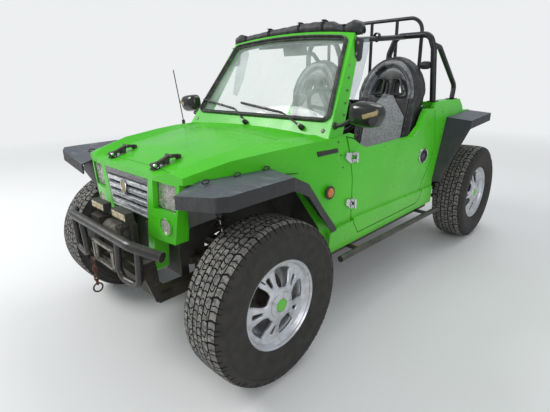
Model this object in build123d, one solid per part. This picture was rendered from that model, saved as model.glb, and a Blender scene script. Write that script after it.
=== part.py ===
from build123d import *
import math
import os

# Small two-seat off-road vehicle with an open cabin: green moulded body on a tube and box frame,
# front axle steered, engine behind the seats under a short cargo bed.
# Millimetres. X points forward, Y to the left, Z up from the ground. Places along X are written
# from the front axle, and every piece is moved at the end so that the origin lies at the middle
# of the overall length, on the ground.

# Wheels and axles
WHEELBASE = 2264
TRACK = 1288
TYRE_OD = 733
TYRE_WIDTH = 235
TREAD_WIDTH = 196
TYRE_WALL = 14
RIM_SEAT_D = 381
RIM_FLANGE_D = 415
RIM_WIDTH = 190
RIM_WALL = 9
RIM_LIP = 7
SPOKES = 5
WHEEL_PHASE = 21.6
SPINDLE_R = 15
SPINDLE_PLAY = 0.05
HUB_R = 46
DISC_R = 112
KINGPIN_INSET = 110
BALL_JOINT_RISE = 100
RACK_ARM = 120

# Overall reach of the parts that stand out furthest in front and behind
FRONT_REACH = 447
REAR_OVERHANG = 386

# Frame
RAIL_Y = 270
RAIL_W = 50
RAIL_H = 60
RAIL_BOTTOM = 335
RAIL_FRONT = 320
RAIL_REAR_OVERHANG = 300
TOWER_TOP = 760
TOWER_HALF = 80
CROSS_W = 50

# Body panels
PANEL = 8
PANEL_GAP = 5
SEAT_GAP = 0.3
FLOOR_TOP = 405
BODY_HALF = 600
INNER_HALF = 566
LOWER_HALF = 618
LEDGE_Z = 540
LEDGE_DROP = 22
SILL_BOTTOM = 400
SILL_TOP = 440
NOSE_X = 266
NOSE_CORNER = (243, 418)
NOSE_FLAT_HALF = 262
NOSE_DEPTH = 80
HOOD_FRONT = 203
HOOD_REAR = -322
HOOD_FRONT_HALF = 318
HOOD_REAR_HALF = 408
DOOR_FRONT = -703
DOOR_T = 45
BULKHEAD_X = -1760
TAIL_X = -2285
BED_FLOOR = 800
BED_HALF = 498
QUARTER_TOP = 1098
TAIL_TOP = 1010
TAILGATE_T = 28
TAILGATE_BOTTOM = 812

# Windshield, as a flat frame that leans back, with a bowed header
SHIELD_FOOT_X = -505
SHIELD_FOOT_Z = 990
SHIELD_HEAD_X = -850
SHIELD_HEAD_Z = 1496
SHIELD_FOOT_HALF = 584
SHIELD_HEAD_HALF = 477
SHIELD_T = 26
HEADER_BOW = 37
GLASS_T = 6
GLASS_SET = 8
GLASS_FIT = 1

# Flares
FLARE_T = 8
FLARE_LIP = 56
FRONT_FLARE_HALF = 758
REAR_FLARE_HALF = 768

# Tubes
HOOP_R = 20
RACK_R = 12.5
BAR_R = 22
LOOP_R = 15
ROOF_R = 16
STEP_R = 17

REAR_AXLE = -WHEELBASE
WHEEL_Y = TRACK / 2
WHEEL_Z = TYRE_OD / 2
KINGPIN_Y = WHEEL_Y - KINGPIN_INSET
REAR_REACH = WHEELBASE + REAR_OVERHANG
ORIGIN_SHIFT = (REAR_REACH - FRONT_REACH) / 2
RAIL_TOP = RAIL_BOTTOM + RAIL_H
RAIL_OUT = RAIL_Y + RAIL_W / 2
RAIL_REAR = REAR_AXLE - RAIL_REAR_OVERHANG
SIDES = {"left": 1, "right": -1}
SIDE_VIEW = Plane(origin=(0, 0, 0), x_dir=(1, 0, 0), z_dir=(0, -1, 0))
FRONT_VIEW = Plane(origin=(0, 0, 0), x_dir=(0, 1, 0), z_dir=(1, 0, 0))

os.makedirs("parts", exist_ok=True)


# Helpers for shapes that return in many pieces
def block(x, y, z):
    """A box between two places along each axis."""
    size = [abs(span[1] - span[0]) for span in (x, y, z)]
    middle = [(span[0] + span[1]) / 2 for span in (x, y, z)]
    return Pos(*middle) * Box(*size)


def side_plate(outline, y0, y1):
    """An outline given as (x, z) points, as thick as the span from y0 to y1."""
    low, high = sorted((y0, y1))
    return Pos(0, high, 0) * extrude(SIDE_VIEW * make_face(Polyline(outline, close=True)), high - low)


def plan_plate(outline, z0, z1):
    """An outline given as (x, y) points, as thick as the span from z0 to z1."""
    return Pos(0, 0, z0) * extrude(make_face(Polyline(outline, close=True)), z1 - z0)


def front_plate(outline, x0, x1):
    """An outline given as (y, z) points, or a ready face, as thick as the span from x0 to x1."""
    face = make_face(Polyline(outline, close=True)) if isinstance(outline, list) else outline
    return Pos(x0, 0, 0) * extrude(FRONT_VIEW * face, x1 - x0)


def rod(p, q, r):
    """A straight round bar from p to q."""
    axis = Vector(*q) - Vector(*p)
    return extrude(Plane(origin=p, z_dir=axis) * Circle(r), axis.length)


def bent_tube(points, r, bend):
    """A round tube along straight runs joined by bends of one radius."""
    path = FilletPolyline(*points, radius=bend)
    return sweep(Plane(origin=path @ 0, z_dir=path % 0) * Circle(r), path=path)


def flip(shape, side):
    """The piece as made, on the left, or its mirror image on the right."""
    return shape if side > 0 else mirror(shape, about=Plane.XZ)


def both(shape):
    """A piece with its mirror image on the other side of the vehicle."""
    return [shape, flip(shape, -1)]


def join(*pieces):
    """One solid, or one set of solids, from pieces and lists of pieces."""
    flat = []
    for piece in pieces:
        flat.extend(piece if isinstance(piece, (list, tuple)) else [piece])
    shape = flat[0]
    for piece in flat[1:]:
        shape = shape + piece
    return shape


def put(name, shape):
    """Moves a piece from the front axle's frame to the vehicle's and writes it."""
    export_step(Pos(ORIGIN_SHIFT, 0, 0) * shape, f"parts/{name}.step")


# Tyres and wheels, made once about Y at the axle's middle and then placed
def tyre():
    half = TYRE_WIDTH / 2
    outer = TYRE_OD / 2
    crown = TREAD_WIDTH / 2
    seat = RIM_SEAT_D / 2 + SEAT_GAP
    bead = RIM_FLANGE_D / 2 + 2
    flange = RIM_WIDTH / 2 - RIM_LIP - SEAT_GAP
    belly = (outer + bead) / 2 - 4
    wall = TYRE_WALL
    shoulder = 12
    inside = [(flange - wall, bead), (half - wall - 2, belly), (crown - wall, outer - 2 * wall)]
    lines = [
        Polyline([
            (-crown - 4, outer - shoulder), (-crown + shoulder, outer),
            (crown - shoulder, outer), (crown + 4, outer - shoulder),
        ]),
        ThreePointArc((crown + 4, outer - shoulder), (half, belly), (flange, bead)),
        Polyline([(flange, bead), (flange, seat), (flange - wall, seat)] + inside),
        Polyline([inside[-1]] + [(-y, z) for y, z in reversed(inside)]),
        Polyline([(-flange + wall, bead), (-flange + wall, seat), (-flange, seat), (-flange, bead)]),
        ThreePointArc((-flange, bead), (-half, belly), (-crown - 4, outer - shoulder)),
    ]
    return revolve(FRONT_VIEW * make_face(lines), Axis.Y)


def alloy_wheel():
    """Rim with five slotted spokes, hub and brake disc; the outside faces +Y."""
    half = RIM_WIDTH / 2
    seat = RIM_SEAT_D / 2
    flange = RIM_FLANGE_D / 2
    well = seat - 26
    barrel = well - RIM_WALL
    face_in = half - 46
    rim = [
        (-half, flange), (-half + RIM_LIP, flange), (-half + RIM_LIP, seat), (-half + 40, seat),
        (-half + 55, well), (half - 75, well), (half - 60, seat), (half - RIM_LIP, seat),
        (half - RIM_LIP, flange), (half, flange), (half, seat - 6), (half - 20, seat - 14),
        (half - 46, barrel), (-half + 50, barrel), (-half + 30, seat - RIM_WALL), (-half, seat - RIM_WALL),
    ]
    spoke_disc = [
        (face_in, 0), (face_in, barrel + 1), (half - 30, seat - 19), (half - 30, 140), (half - 18, 96),
        (half - 8, 62), (half - 6, 38), (half, 34), (half, 0),
    ]
    hub = [(-30, 0), (-30, HUB_R), (face_in + 1, HUB_R), (face_in + 1, 0)]
    brake = [(-24, HUB_R - 1), (-24, DISC_R), (-16, DISC_R), (-16, HUB_R - 1)]
    turned = [
        revolve(FRONT_VIEW * make_face(Polyline(outline, close=True)), Axis.Y)
        for outline in (rim, spoke_disc, hub, brake)
    ]
    shape = join(*turned)
    wheel_view = Plane(origin=(0, 0, 0), x_dir=(1, 0, 0), z_dir=(0, 1, 0))
    window = Polyline(
        [(-20, 68), (-60, 122), (-52, 146), (-22, 153), (22, 153), (52, 146), (60, 122), (20, 68)], close=True
    )
    slot = Polyline([(0, 82), (-9, 132), (-4, 146), (4, 146), (9, 132)], close=True)
    window_cut = extrude(wheel_view * make_face(window), half)
    slot_cut = extrude(wheel_view * make_face(slot), half)
    for k in range(SPOKES):
        turn = 360 / SPOKES * k
        shape = shape - Rot(0, turn, 0) * window_cut
        shape = shape - Rot(0, turn + 180 / SPOKES, 0) * slot_cut
    bore_view = Plane(origin=(0, -40, 0), x_dir=(1, 0, 0), z_dir=(0, 1, 0))
    return shape - extrude(bore_view * Circle(SPINDLE_R + SPINDLE_PLAY), 62)


def place_wheel(shape, x, side):
    turned = shape if side > 0 else Rot(0, 0, 180) * shape
    return Pos(x, side * WHEEL_Y, WHEEL_Z) * turned


tyre_shape = tyre()
wheel_shape = Rot(0, WHEEL_PHASE, 0) * alloy_wheel()
for end, axle in (("front", 0), ("rear", REAR_AXLE)):
    for name, side in SIDES.items():
        put(f"tyre_{end}_{name}", place_wheel(tyre_shape, axle, side))
        put(f"wheel_{end}_{name}", place_wheel(wheel_shape, axle, side))

# Steered knuckles: an upright on two ball joints, with the spindle and the steering arm
SPINDLE_END = WHEEL_Y + 20
UPRIGHT_OUT = WHEEL_Y - 44
BALL_LOW = WHEEL_Z - BALL_JOINT_RISE
BALL_HIGH = WHEEL_Z + BALL_JOINT_RISE
BALL_PIN_R = 9
TIE_Z = WHEEL_Z + 40
TIE_T = 16
LINK_R = 9
LINK_EYE_T = 24
LINK_Z = TIE_Z + SEAT_GAP + LINK_EYE_T / 2
GUIDE_HALF = 15
for name, side in SIDES.items():
    upright = join(
        block((-24, 24), (KINGPIN_Y - 20, KINGPIN_Y + 20), (BALL_LOW, BALL_HIGH)),
        block((-34, 34), (KINGPIN_Y, UPRIGHT_OUT), (WHEEL_Z - 40, WHEEL_Z + 40)),
        rod((0, UPRIGHT_OUT - 10, WHEEL_Z), (0, SPINDLE_END, WHEEL_Z), SPINDLE_R),
        block((-RACK_ARM - 18, -20), (KINGPIN_Y - 16, KINGPIN_Y + 16), (TIE_Z - TIE_T, TIE_Z)),
    )
    for z in (BALL_LOW, BALL_HIGH):
        pin_hole = rod((0, KINGPIN_Y, z - 30), (0, KINGPIN_Y, z + 30), BALL_PIN_R + SPINDLE_PLAY)
        upright = upright - pin_hole
    put(f"knuckle_{name}", flip(upright, side))

# Suspension arms of one corner, on the left, at an axle
ARM_R = 14
ARM_SPREAD = 130
ARM_TIP = 26
ARM_NECK = 48
LOW_PIVOT_Z = RAIL_BOTTOM + 5
HIGH_PIVOT_Z = BALL_HIGH + 25
BUSH_R = 18
PIVOT_Y = RAIL_OUT + BUSH_R + SEAT_GAP
SHOCK_EYE_R = 15
SHOCK_TAB = 15
SHOCK_TOP_Z = TOWER_TOP - SHOCK_TAB - SEAT_GAP - SHOCK_EYE_R
SHOCK_TOP_Y = RAIL_OUT + 30
SHOCK_LOW_Y = KINGPIN_Y - 95
SHOCK_LOW_Z = 334
SHOCK_X = {0: 0, REAR_AXLE: 74}
SHOCK_SEAT_X = {0: (-40, 40), REAR_AXLE: (36, 88)}
BALL_TIP_T = 14


def arms(axle):
    """Lower and upper arm; the rear axle's upper arm has only its rear leg, clear of the shaft."""
    pieces = []
    leg_sides = {-1: (-1, 1), 1: (-1, 1) if axle == 0 else (-1,)}
    for ball_z, pivot_z, away in ((BALL_LOW, LOW_PIVOT_Z, -1), (BALL_HIGH, HIGH_PIVOT_Z, 1)):
        tip_z = ball_z + away * (SEAT_GAP + BALL_TIP_T / 2)
        tip = (axle, KINGPIN_Y, tip_z)
        neck = block(
            (axle - 22, axle + 22), (KINGPIN_Y - ARM_NECK - 12, KINGPIN_Y),
            (tip_z - BALL_TIP_T / 2, tip_z + BALL_TIP_T / 2),
        )
        pin = rod(tip, (axle, KINGPIN_Y, ball_z - away * 26), BALL_PIN_R)
        parts = [Pos(*tip) * Cylinder(ARM_TIP, BALL_TIP_T), neck, pin]
        for s in leg_sides[away]:
            foot_x = axle + s * ARM_SPREAD
            parts.append(rod((foot_x, PIVOT_Y, pivot_z), (axle + s * 14, KINGPIN_Y - ARM_NECK, tip_z), ARM_R))
            parts.append(rod((foot_x - 28, PIVOT_Y, pivot_z), (foot_x + 28, PIVOT_Y, pivot_z), BUSH_R))
        pieces.append(join(*parts))
    seat_top = SHOCK_LOW_Z - SHOCK_EYE_R - SEAT_GAP
    seat_x = [axle + x for x in SHOCK_SEAT_X[axle]]
    pieces[0] = pieces[0] + block(seat_x, (SHOCK_LOW_Y - 14, SHOCK_LOW_Y + 14), (seat_top - 26, seat_top))
    return pieces


put("suspension_front", Compound([piece for arm in arms(0) for piece in both(arm)]))

# Rear corners: the same arms, with fixed hub carriers and the half shafts
DRIVE_R = 15
GEARBOX_HALF = 150
SHAFT_Z = 444
carrier = join(
    block((REAR_AXLE - 24, REAR_AXLE + 24), (KINGPIN_Y - 20, KINGPIN_Y + 20), (BALL_LOW, BALL_HIGH)),
    block((REAR_AXLE - 34, REAR_AXLE + 34), (KINGPIN_Y, UPRIGHT_OUT), (WHEEL_Z - 40, WHEEL_Z + 40)),
    rod((REAR_AXLE, UPRIGHT_OUT - 10, WHEEL_Z), (REAR_AXLE, SPINDLE_END, WHEEL_Z), SPINDLE_R),
    rod((REAR_AXLE, GEARBOX_HALF, SHAFT_Z), (REAR_AXLE, KINGPIN_Y, WHEEL_Z), DRIVE_R),
    rod((REAR_AXLE, GEARBOX_HALF, SHAFT_Z), (REAR_AXLE, GEARBOX_HALF + 60, SHAFT_Z - 11), 38),
    rod((REAR_AXLE, KINGPIN_Y - 75, WHEEL_Z + 14), (REAR_AXLE, KINGPIN_Y - 15, WHEEL_Z + 3), 34),
    *arms(REAR_AXLE),
    rod((REAR_AXLE, KINGPIN_Y, BALL_LOW - 8), (REAR_AXLE, KINGPIN_Y, BALL_HIGH + 8), BALL_PIN_R),
)
put("suspension_rear", Compound(both(carrier)))

# Coil springs over dampers
SPRING_R = 36
SPRING_WIRE = 11
SPRING_TURNS = 5
SPRING_LIFT = 58
DAMPER_R = 14


def coilover(axle):
    low = Vector(axle + SHOCK_X[axle], SHOCK_LOW_Y, SHOCK_LOW_Z)
    high = Vector(axle + SHOCK_X[axle], SHOCK_TOP_Y, SHOCK_TOP_Z)
    length = (high - low).length
    step = (length - 2 * SPRING_LIFT) / SPRING_TURNS
    outline = [(0, 0), (DAMPER_R, 0), (DAMPER_R, SPRING_LIFT - 16), (SPRING_R, SPRING_LIFT - 16)]
    for k in range(SPRING_TURNS):
        z = SPRING_LIFT + step * k
        outline += [(SPRING_R, z), (SPRING_R - SPRING_WIRE, z + step * 0.5)]
    outline += [(SPRING_R, length - SPRING_LIFT), (SPRING_R, length - SPRING_LIFT + 12)]
    outline += [(DAMPER_R, length - SPRING_LIFT + 12), (DAMPER_R, length), (0, length)]
    body = revolve(Plane.XZ * make_face(Polyline(outline, close=True)), Axis.Z)
    body = Plane(origin=low, x_dir=(1, 0, 0), z_dir=high - low).location * body
    eyes = [rod((e.X - 18, e.Y, e.Z), (e.X + 18, e.Y, e.Z), SHOCK_EYE_R) for e in (low, high)]
    return join(body, eyes)


put("coilovers", Compound([c for axle in (0, REAR_AXLE) for c in both(coilover(axle))]))

# Frame: two rails, cross members, front and rear towers and sill tubes
SILL_TUBE_Y = BODY_HALF - 40
CROSS_PLACES = (290, -240, -580, -1150, -1680, -2000, RAIL_REAR + CROSS_W / 2)
tower_y = (RAIL_Y - 15, RAIL_Y + 25)
side_pieces = [
    block((RAIL_REAR, RAIL_FRONT), (RAIL_Y - RAIL_W / 2, RAIL_OUT), (RAIL_BOTTOM, RAIL_TOP)),
    block((-1700, -560), (SILL_TUBE_Y - 20, SILL_TUBE_Y + 20), (SILL_BOTTOM - 45, SILL_BOTTOM - 5)),
]
for axle in (0, REAR_AXLE):
    shock_x = axle + SHOCK_X[axle]
    for s in (-1, 1):
        leg_x = axle + s * TOWER_HALF
        side_pieces.append(block((leg_x - 20, leg_x + 20), tower_y, (RAIL_TOP - 1, TOWER_TOP)))
    side_pieces += [
        block((axle - TOWER_HALF - 20, axle + TOWER_HALF + 20), tower_y, (TOWER_TOP - 30, TOWER_TOP)),
        block((shock_x - 20, shock_x + 20), (RAIL_Y, SHOCK_TOP_Y + 18), (TOWER_TOP - SHOCK_TAB, TOWER_TOP)),
        block(
            (axle - ARM_SPREAD - 30, axle + ARM_SPREAD + 30), (RAIL_Y - 15, RAIL_OUT),
            (HIGH_PIVOT_Z - 16, HIGH_PIVOT_Z + 16),
        ),
    ]
side_frame = join(*side_pieces)
cross = [
    block((x - CROSS_W / 2, x + CROSS_W / 2), (-RAIL_Y, RAIL_Y), (RAIL_BOTTOM + 5, RAIL_TOP - 5))
    for x in CROSS_PLACES
]
outriggers = [
    block(
        (x - CROSS_W / 2, x + CROSS_W / 2), (-SILL_TUBE_Y, SILL_TUBE_Y),
        (SILL_BOTTOM - 45, SILL_BOTTOM - 10),
    )
    for x in (-580, -1680)
]
tower_ties = [
    block((axle + TOWER_HALF - 15, axle + TOWER_HALF + 15), (-RAIL_Y, RAIL_Y), (TOWER_TOP - 30, TOWER_TOP))
    for axle in (0, REAR_AXLE)
]
guide = block(
    (-RACK_ARM - GUIDE_HALF, -RACK_ARM + GUIDE_HALF), (RAIL_Y - GUIDE_HALF, RAIL_Y + GUIDE_HALF),
    (RAIL_TOP - 1, LINK_Z + GUIDE_HALF),
) - rod((-RACK_ARM, 0, LINK_Z), (-RACK_ARM, KINGPIN_Y, LINK_Z), LINK_R + SEAT_GAP)
put("chassis", join(both(side_frame), both(guide), cross, outriggers, tower_ties))

# Front body shell: lofted between stations, hollow, open below and behind
# A ridge runs along each fender, from a brow over the lamp back to the windshield, where it fades.
# Columns: place along the vehicle, half width and height of the side crease, half width and height of
# the ridge's crest, the same of the ridge's inner foot, and the height at the middle
STATIONS = (
    (NOSE_X, 430, 905, 358, 921, 312, 905, 906),
    (205, 450, 922, 374, 939, 322, 911, 919),
    (40, 492, 956, 414, 977, 364, 951, 968),
    (-180, 535, 974, 444, 998, 396, 977, 994),
    (-320, 562, 983, 468, 1005, 424, 991, 1012),
    (-505, 587, 990, 500, 1004, 456, 1002, 1020),
    (-698, 598, 994, 512, 1008, 468, 1009, 1026),
)


def shell_section(x, half, crease, crest_y, crest, foot_y, foot, crown, inset, low):
    half, crease, crest, foot, crown = (value - inset for value in (half, crease, crest, foot, crown))
    lines = [
        Polyline([(-foot_y, foot), (-crest_y, crest), (-half, crease), (-half, low), (half, low),
                  (half, crease), (crest_y, crest), (foot_y, foot)]),
        ThreePointArc((foot_y, foot), (0, crown), (-foot_y, foot)),
    ]
    return Pos(x, 0, 0) * (FRONT_VIEW * make_face(lines))


def front_volume(inset, low, nose_inset):
    """The shell's outer or inner volume, with the nose's corners swept back in plan."""
    rows = [(NOSE_X - nose_inset,) + STATIONS[0][1:]] + list(STATIONS[1:])
    volume = loft([shell_section(*row, inset, low) for row in rows], ruled=True)
    corner_x, corner_y = NOSE_CORNER
    slope = (NOSE_X - corner_x) / (corner_y - NOSE_FLAT_HALF)
    swept = plan_plate(
        [
            (NOSE_X - nose_inset, NOSE_FLAT_HALF), (corner_x - nose_inset, corner_y),
            (corner_x - nose_inset - 60 * slope, corner_y + 60), (NOSE_X + 30, corner_y + 60),
            (NOSE_X + 30, NOSE_FLAT_HALF),
        ],
        0, 1200,
    )
    for wedge in both(swept):
        volume = volume - wedge
    return volume


ARCH = [
    (NOSE_X + 20, 300), (NOSE_X + 20, 612), (NOSE_X - NOSE_DEPTH, 612), (NOSE_X - NOSE_DEPTH, 812),
    (150, 835), (-235, 858), (-445, 545), (-478, SILL_BOTTOM), (-478, 300),
]
outer_front = front_volume(0, SILL_BOTTOM, 0)
inner_front = front_volume(PANEL, SILL_BOTTOM - 10, PANEL)
shell = outer_front - inner_front
shell = shell - side_plate(ARCH, -BODY_HALF - 50, BODY_HALF + 50)
shell = shell - block((-710, -500), (-BODY_HALF + 32, BODY_HALF - 32), (SILL_BOTTOM - 10, 1100))

# Nose: two tapered lamp pods with deep recesses, round lamp pockets and hanging tusks
GRILLE_TOP_HALF, GRILLE_LOW_HALF = 210, 173
GRILLE_TOP, GRILLE_LOW = 880, 690
LAMP_FACE = [(232, 754), (250, 882), (398, 874), (384, 758)]
LAMP_SET = 54
LENS_T = 14
FOG_Y, FOG_Z, FOG_R = 310, 686, 40
FOG_SET = 20
POD = [
    (GRILLE_TOP_HALF, 882), (GRILLE_LOW_HALF, GRILLE_LOW), (152, 656), (222, 613), (360, 613), (394, 766),
    (412, 843), (420, 890),
]
TUSK = [(150, 660), (126, 452), (146, 414), (172, 436), (190, 560), (215, 620)]
OUTER_NOSE = [(100, 890), (100, 560), (352, 560), (360, 613), (394, 766), (412, 843), (420, 890)]
lamp_cut = front_plate(LAMP_FACE, NOSE_X - LAMP_SET, NOSE_X + 5)
fog_cut = rod((NOSE_X - FOG_SET, FOG_Y, FOG_Z), (NOSE_X + 5, FOG_Y, FOG_Z), FOG_R)
pod = front_plate(POD, NOSE_X - NOSE_DEPTH, NOSE_X - 1) & front_volume(1, 300, 0)
pod = pod + front_plate(TUSK, NOSE_X - NOSE_DEPTH, NOSE_X - 6)
corner_cut = block((NOSE_X - NOSE_DEPTH - 40, NOSE_X + 5), (300, 500), (600, 884)) - front_plate(
    OUTER_NOSE, NOSE_X - NOSE_DEPTH - 50, NOSE_X + 10
)
MOUTH_LOW_HALF = 152
mouth = [
    (-GRILLE_TOP_HALF, GRILLE_TOP), (GRILLE_TOP_HALF, GRILLE_TOP), (GRILLE_LOW_HALF, GRILLE_LOW),
    (MOUTH_LOW_HALF, 600), (-MOUTH_LOW_HALF, 600), (-GRILLE_LOW_HALF, GRILLE_LOW),
]
front = join(shell, both(pod)) - front_plate(mouth, NOSE_X - NOSE_DEPTH - 5, NOSE_X + 5)
for cut in (corner_cut, lamp_cut, fog_cut):
    for piece in both(cut):
        front = front - piece


# Hood: the middle of the shell's top, cut free with an even gap
def hood_prism(grow):
    outline = [
        (HOOD_FRONT + grow, -HOOD_FRONT_HALF - grow), (HOOD_FRONT + grow, HOOD_FRONT_HALF + grow),
        (HOOD_REAR - grow, HOOD_REAR_HALF + grow), (HOOD_REAR - grow, -HOOD_REAR_HALF - grow),
    ]
    return plan_plate(outline, 700, 1100)


put("hood", (outer_front - inner_front) & hood_prism(0))
front = front - hood_prism(PANEL_GAP)

# Windshield frame: a leaning flat ring, with a flange that runs back inside the pillars
FOOT_BAR = 92
HEAD_BAR = 34
SIDE_BAR = 34
SHIELD_TUCK = 30
FLANGE_WALL = 14
FLANGE_HEAD = 62
FLANGE_FOOT = 112
GLASS_CORNER = 38
shield_lean = Vector(SHIELD_HEAD_X - SHIELD_FOOT_X, 0, SHIELD_HEAD_Z - SHIELD_FOOT_Z)
SHIELD_RUN = shield_lean.length
shield_up = shield_lean.normalized()
shield_out = Vector(shield_up.Z, 0, -shield_up.X)
shield_plane = Plane(origin=(SHIELD_FOOT_X, 0, SHIELD_FOOT_Z), x_dir=(0, 1, 0), z_dir=shield_out)


def on_shield(y, run, out=0.0):
    """A place on the windshield: across, up along the lean, and out from its front face."""
    p = shield_plane.origin + shield_up * run + shield_out * out
    return (p.X, y, p.Z)


def shield_half(run):
    return SHIELD_FOOT_HALF + (SHIELD_HEAD_HALF - SHIELD_FOOT_HALF) * run / SHIELD_RUN


def shield_face(low, high, inset, bow):
    h0, h1 = shield_half(low) - inset, shield_half(high) - inset
    lines = [
        Polyline([(-h1, high), (-h0, low), (h0, low), (h1, high)]),
        ThreePointArc((h1, high), (0, high + bow), (-h1, high)),
    ]
    return make_face(lines)


def shield_slab(face, depth, front_face=0):
    return extrude(shield_plane.offset(front_face) * face, -depth)


def glass_face(fit):
    face = shield_face(FOOT_BAR + fit, SHIELD_RUN - HEAD_BAR - fit, SIDE_BAR + fit, HEADER_BOW)
    return fillet(face.vertices(), GLASS_CORNER)


def flange_edge(run, depth):
    x, _, z = on_shield(0, run, -depth)
    return (x, z)


full_slab = shield_slab(shield_face(-SHIELD_TUCK, SHIELD_RUN, 0, HEADER_BOW), SHIELD_T)
flange_side = side_plate(
    [
        flange_edge(20, -5), flange_edge(20, FLANGE_FOOT), flange_edge(SHIELD_RUN + 60, FLANGE_HEAD),
        flange_edge(SHIELD_RUN + 60, -5),
    ],
    -BODY_HALF, BODY_HALF,
)
flange_ring = shield_slab(shield_face(20, SHIELD_RUN, 0, HEADER_BOW), FLANGE_FOOT) - shield_slab(
    shield_face(-60, SHIELD_RUN - FLANGE_WALL, FLANGE_WALL, HEADER_BOW), FLANGE_FOOT + 10, 5
)
shield = join(full_slab, flange_ring & flange_side) - shield_slab(glass_face(0), SHIELD_T + 10, 5)
put("windshield_frame", shield)
put("windshield_glass", shield_slab(glass_face(GLASS_FIT), GLASS_T, -GLASS_SET))
shield_room = shield_slab(shield_face(-60, SHIELD_RUN, 0, HEADER_BOW), FLANGE_FOOT + 30)
front = front - full_slab - shield_room

# Grille: a tapered frame with slats
SLATS = 4
GRILLE_RECESS = 2
GRILLE_T = 22
FRAME_W = 10
FRAME_HEAD = 26


def grille_face(inset, head):
    return [
        (-GRILLE_TOP_HALF + inset, GRILLE_TOP - head), (GRILLE_TOP_HALF - inset, GRILLE_TOP - head),
        (GRILLE_LOW_HALF - inset, GRILLE_LOW + inset), (-GRILLE_LOW_HALF + inset, GRILLE_LOW + inset),
    ]


grille_front = NOSE_X - GRILLE_RECESS
grille_back = grille_front - GRILLE_T
opening = front_plate(grille_face(FRAME_W, FRAME_HEAD), grille_back - 5, grille_front + 5)
grille = front_plate(grille_face(1, 2), grille_back, grille_front) - opening
slat_step = (GRILLE_TOP - FRAME_HEAD - GRILLE_LOW - FRAME_W) / SLATS
inside = front_plate(grille_face(FRAME_W - 1, FRAME_HEAD - 1), grille_back, grille_front)
for k in range(SLATS):
    z = GRILLE_LOW + FRAME_W + slat_step * k
    slat = [
        (grille_back + 3, z + 7), (grille_front - 3, z + 3), (grille_front, z + 24),
        (grille_back + 6, z + 28),
    ]
    grille = grille + (side_plate(slat, -GRILLE_TOP_HALF, GRILLE_TOP_HALF) & inside)
put("grille", grille)

# Lamps in the nose
headlamp = front_plate(LAMP_FACE, NOSE_X - LAMP_SET, NOSE_X - LAMP_SET + LENS_T)
foglamp = rod((NOSE_X - FOG_SET, FOG_Y, FOG_Z), (NOSE_X - 4, FOG_Y, FOG_Z), FOG_R)
put("front_lamps", Compound(both(headlamp) + both(foglamp)))

# Radiator behind the grille
put("radiator", block((130, 170), (-RAIL_Y + 17, RAIL_Y - 17), (RAIL_TOP + SEAT_GAP, 690)))

# Two rubber latches that hold the hood down on the nose
LATCH_Y = 204
LATCH_LIFT = 1.0


def hood_latch():
    """An arched strap from a foot over the nose to its anchor on the hood, with a cross grip."""
    strap = side_plate(
        [
            (236, 900), (237, 930), (228, 941), (205, 945), (148, 968), (100, 962), (96, 940), (138, 955),
            (200, 932), (212, 900),
        ],
        LATCH_Y - 9, LATCH_Y + 9,
    )
    foot = side_plate([(212, 900), (237, 900), (237, 918), (212, 922)], LATCH_Y - 17, LATCH_Y + 17)
    pin = rod((229, LATCH_Y - 15, 933), (229, LATCH_Y + 15, 933), 9)
    grip = rod((146, LATCH_Y - 24, 961), (146, LATCH_Y + 24, 961), 8)
    anchor = side_plate([(192, 910), (160, 920), (152, 955), (176, 946)], LATCH_Y - 13, LATCH_Y + 13)
    heel = side_plate([(110, 930), (94, 936), (95, 962), (112, 960)], LATCH_Y - 14, LATCH_Y + 14)
    latch = join(strap, foot, pin, grip) - Pos(0, 0, LATCH_LIFT) * outer_front
    return join(latch, anchor - outer_front, heel - outer_front)


put("hood_latches", Compound(both(hood_latch())))

# Floor, centre tunnel, footwell wall, dash wall and the wall behind the seats
TUNNEL_HALF = 85
TUNNEL_TOP = 560
FLOOR_FRONT = -498
FLOOR_HALF = INNER_HALF
floor_low = RAIL_TOP + SEAT_GAP
tunnel_y = (-TUNNEL_HALF + PANEL, TUNNEL_HALF - PANEL)
floor_x = (BULKHEAD_X, FLOOR_FRONT)
cut_x = (BULKHEAD_X - 5, FLOOR_FRONT + 5)
floor_pan = block(floor_x, (-FLOOR_HALF, FLOOR_HALF), (floor_low, FLOOR_TOP))
floor_pan = floor_pan - block(cut_x, tunnel_y, (floor_low - 5, FLOOR_TOP + 5))
tunnel = block(floor_x, (-TUNNEL_HALF, TUNNEL_HALF), (floor_low, TUNNEL_TOP))
tunnel = tunnel - block(cut_x, tunnel_y, (floor_low - 5, TUNNEL_TOP - PANEL))
firewall = block((FLOOR_FRONT - PANEL, FLOOR_FRONT), (-FLOOR_HALF, FLOOR_HALF), (floor_low, 940))
rear_wall = block((BULKHEAD_X, BULKHEAD_X + PANEL), (-FLOOR_HALF, FLOOR_HALF), (floor_low, 940))
rear_wall = rear_wall + block(
    (BULKHEAD_X, BULKHEAD_X + PANEL), (-BED_HALF + PANEL + 1, BED_HALF - PANEL - 1), (930, 1060)
)
put("floor", join(floor_pan, tunnel, firewall, rear_wall))

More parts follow.
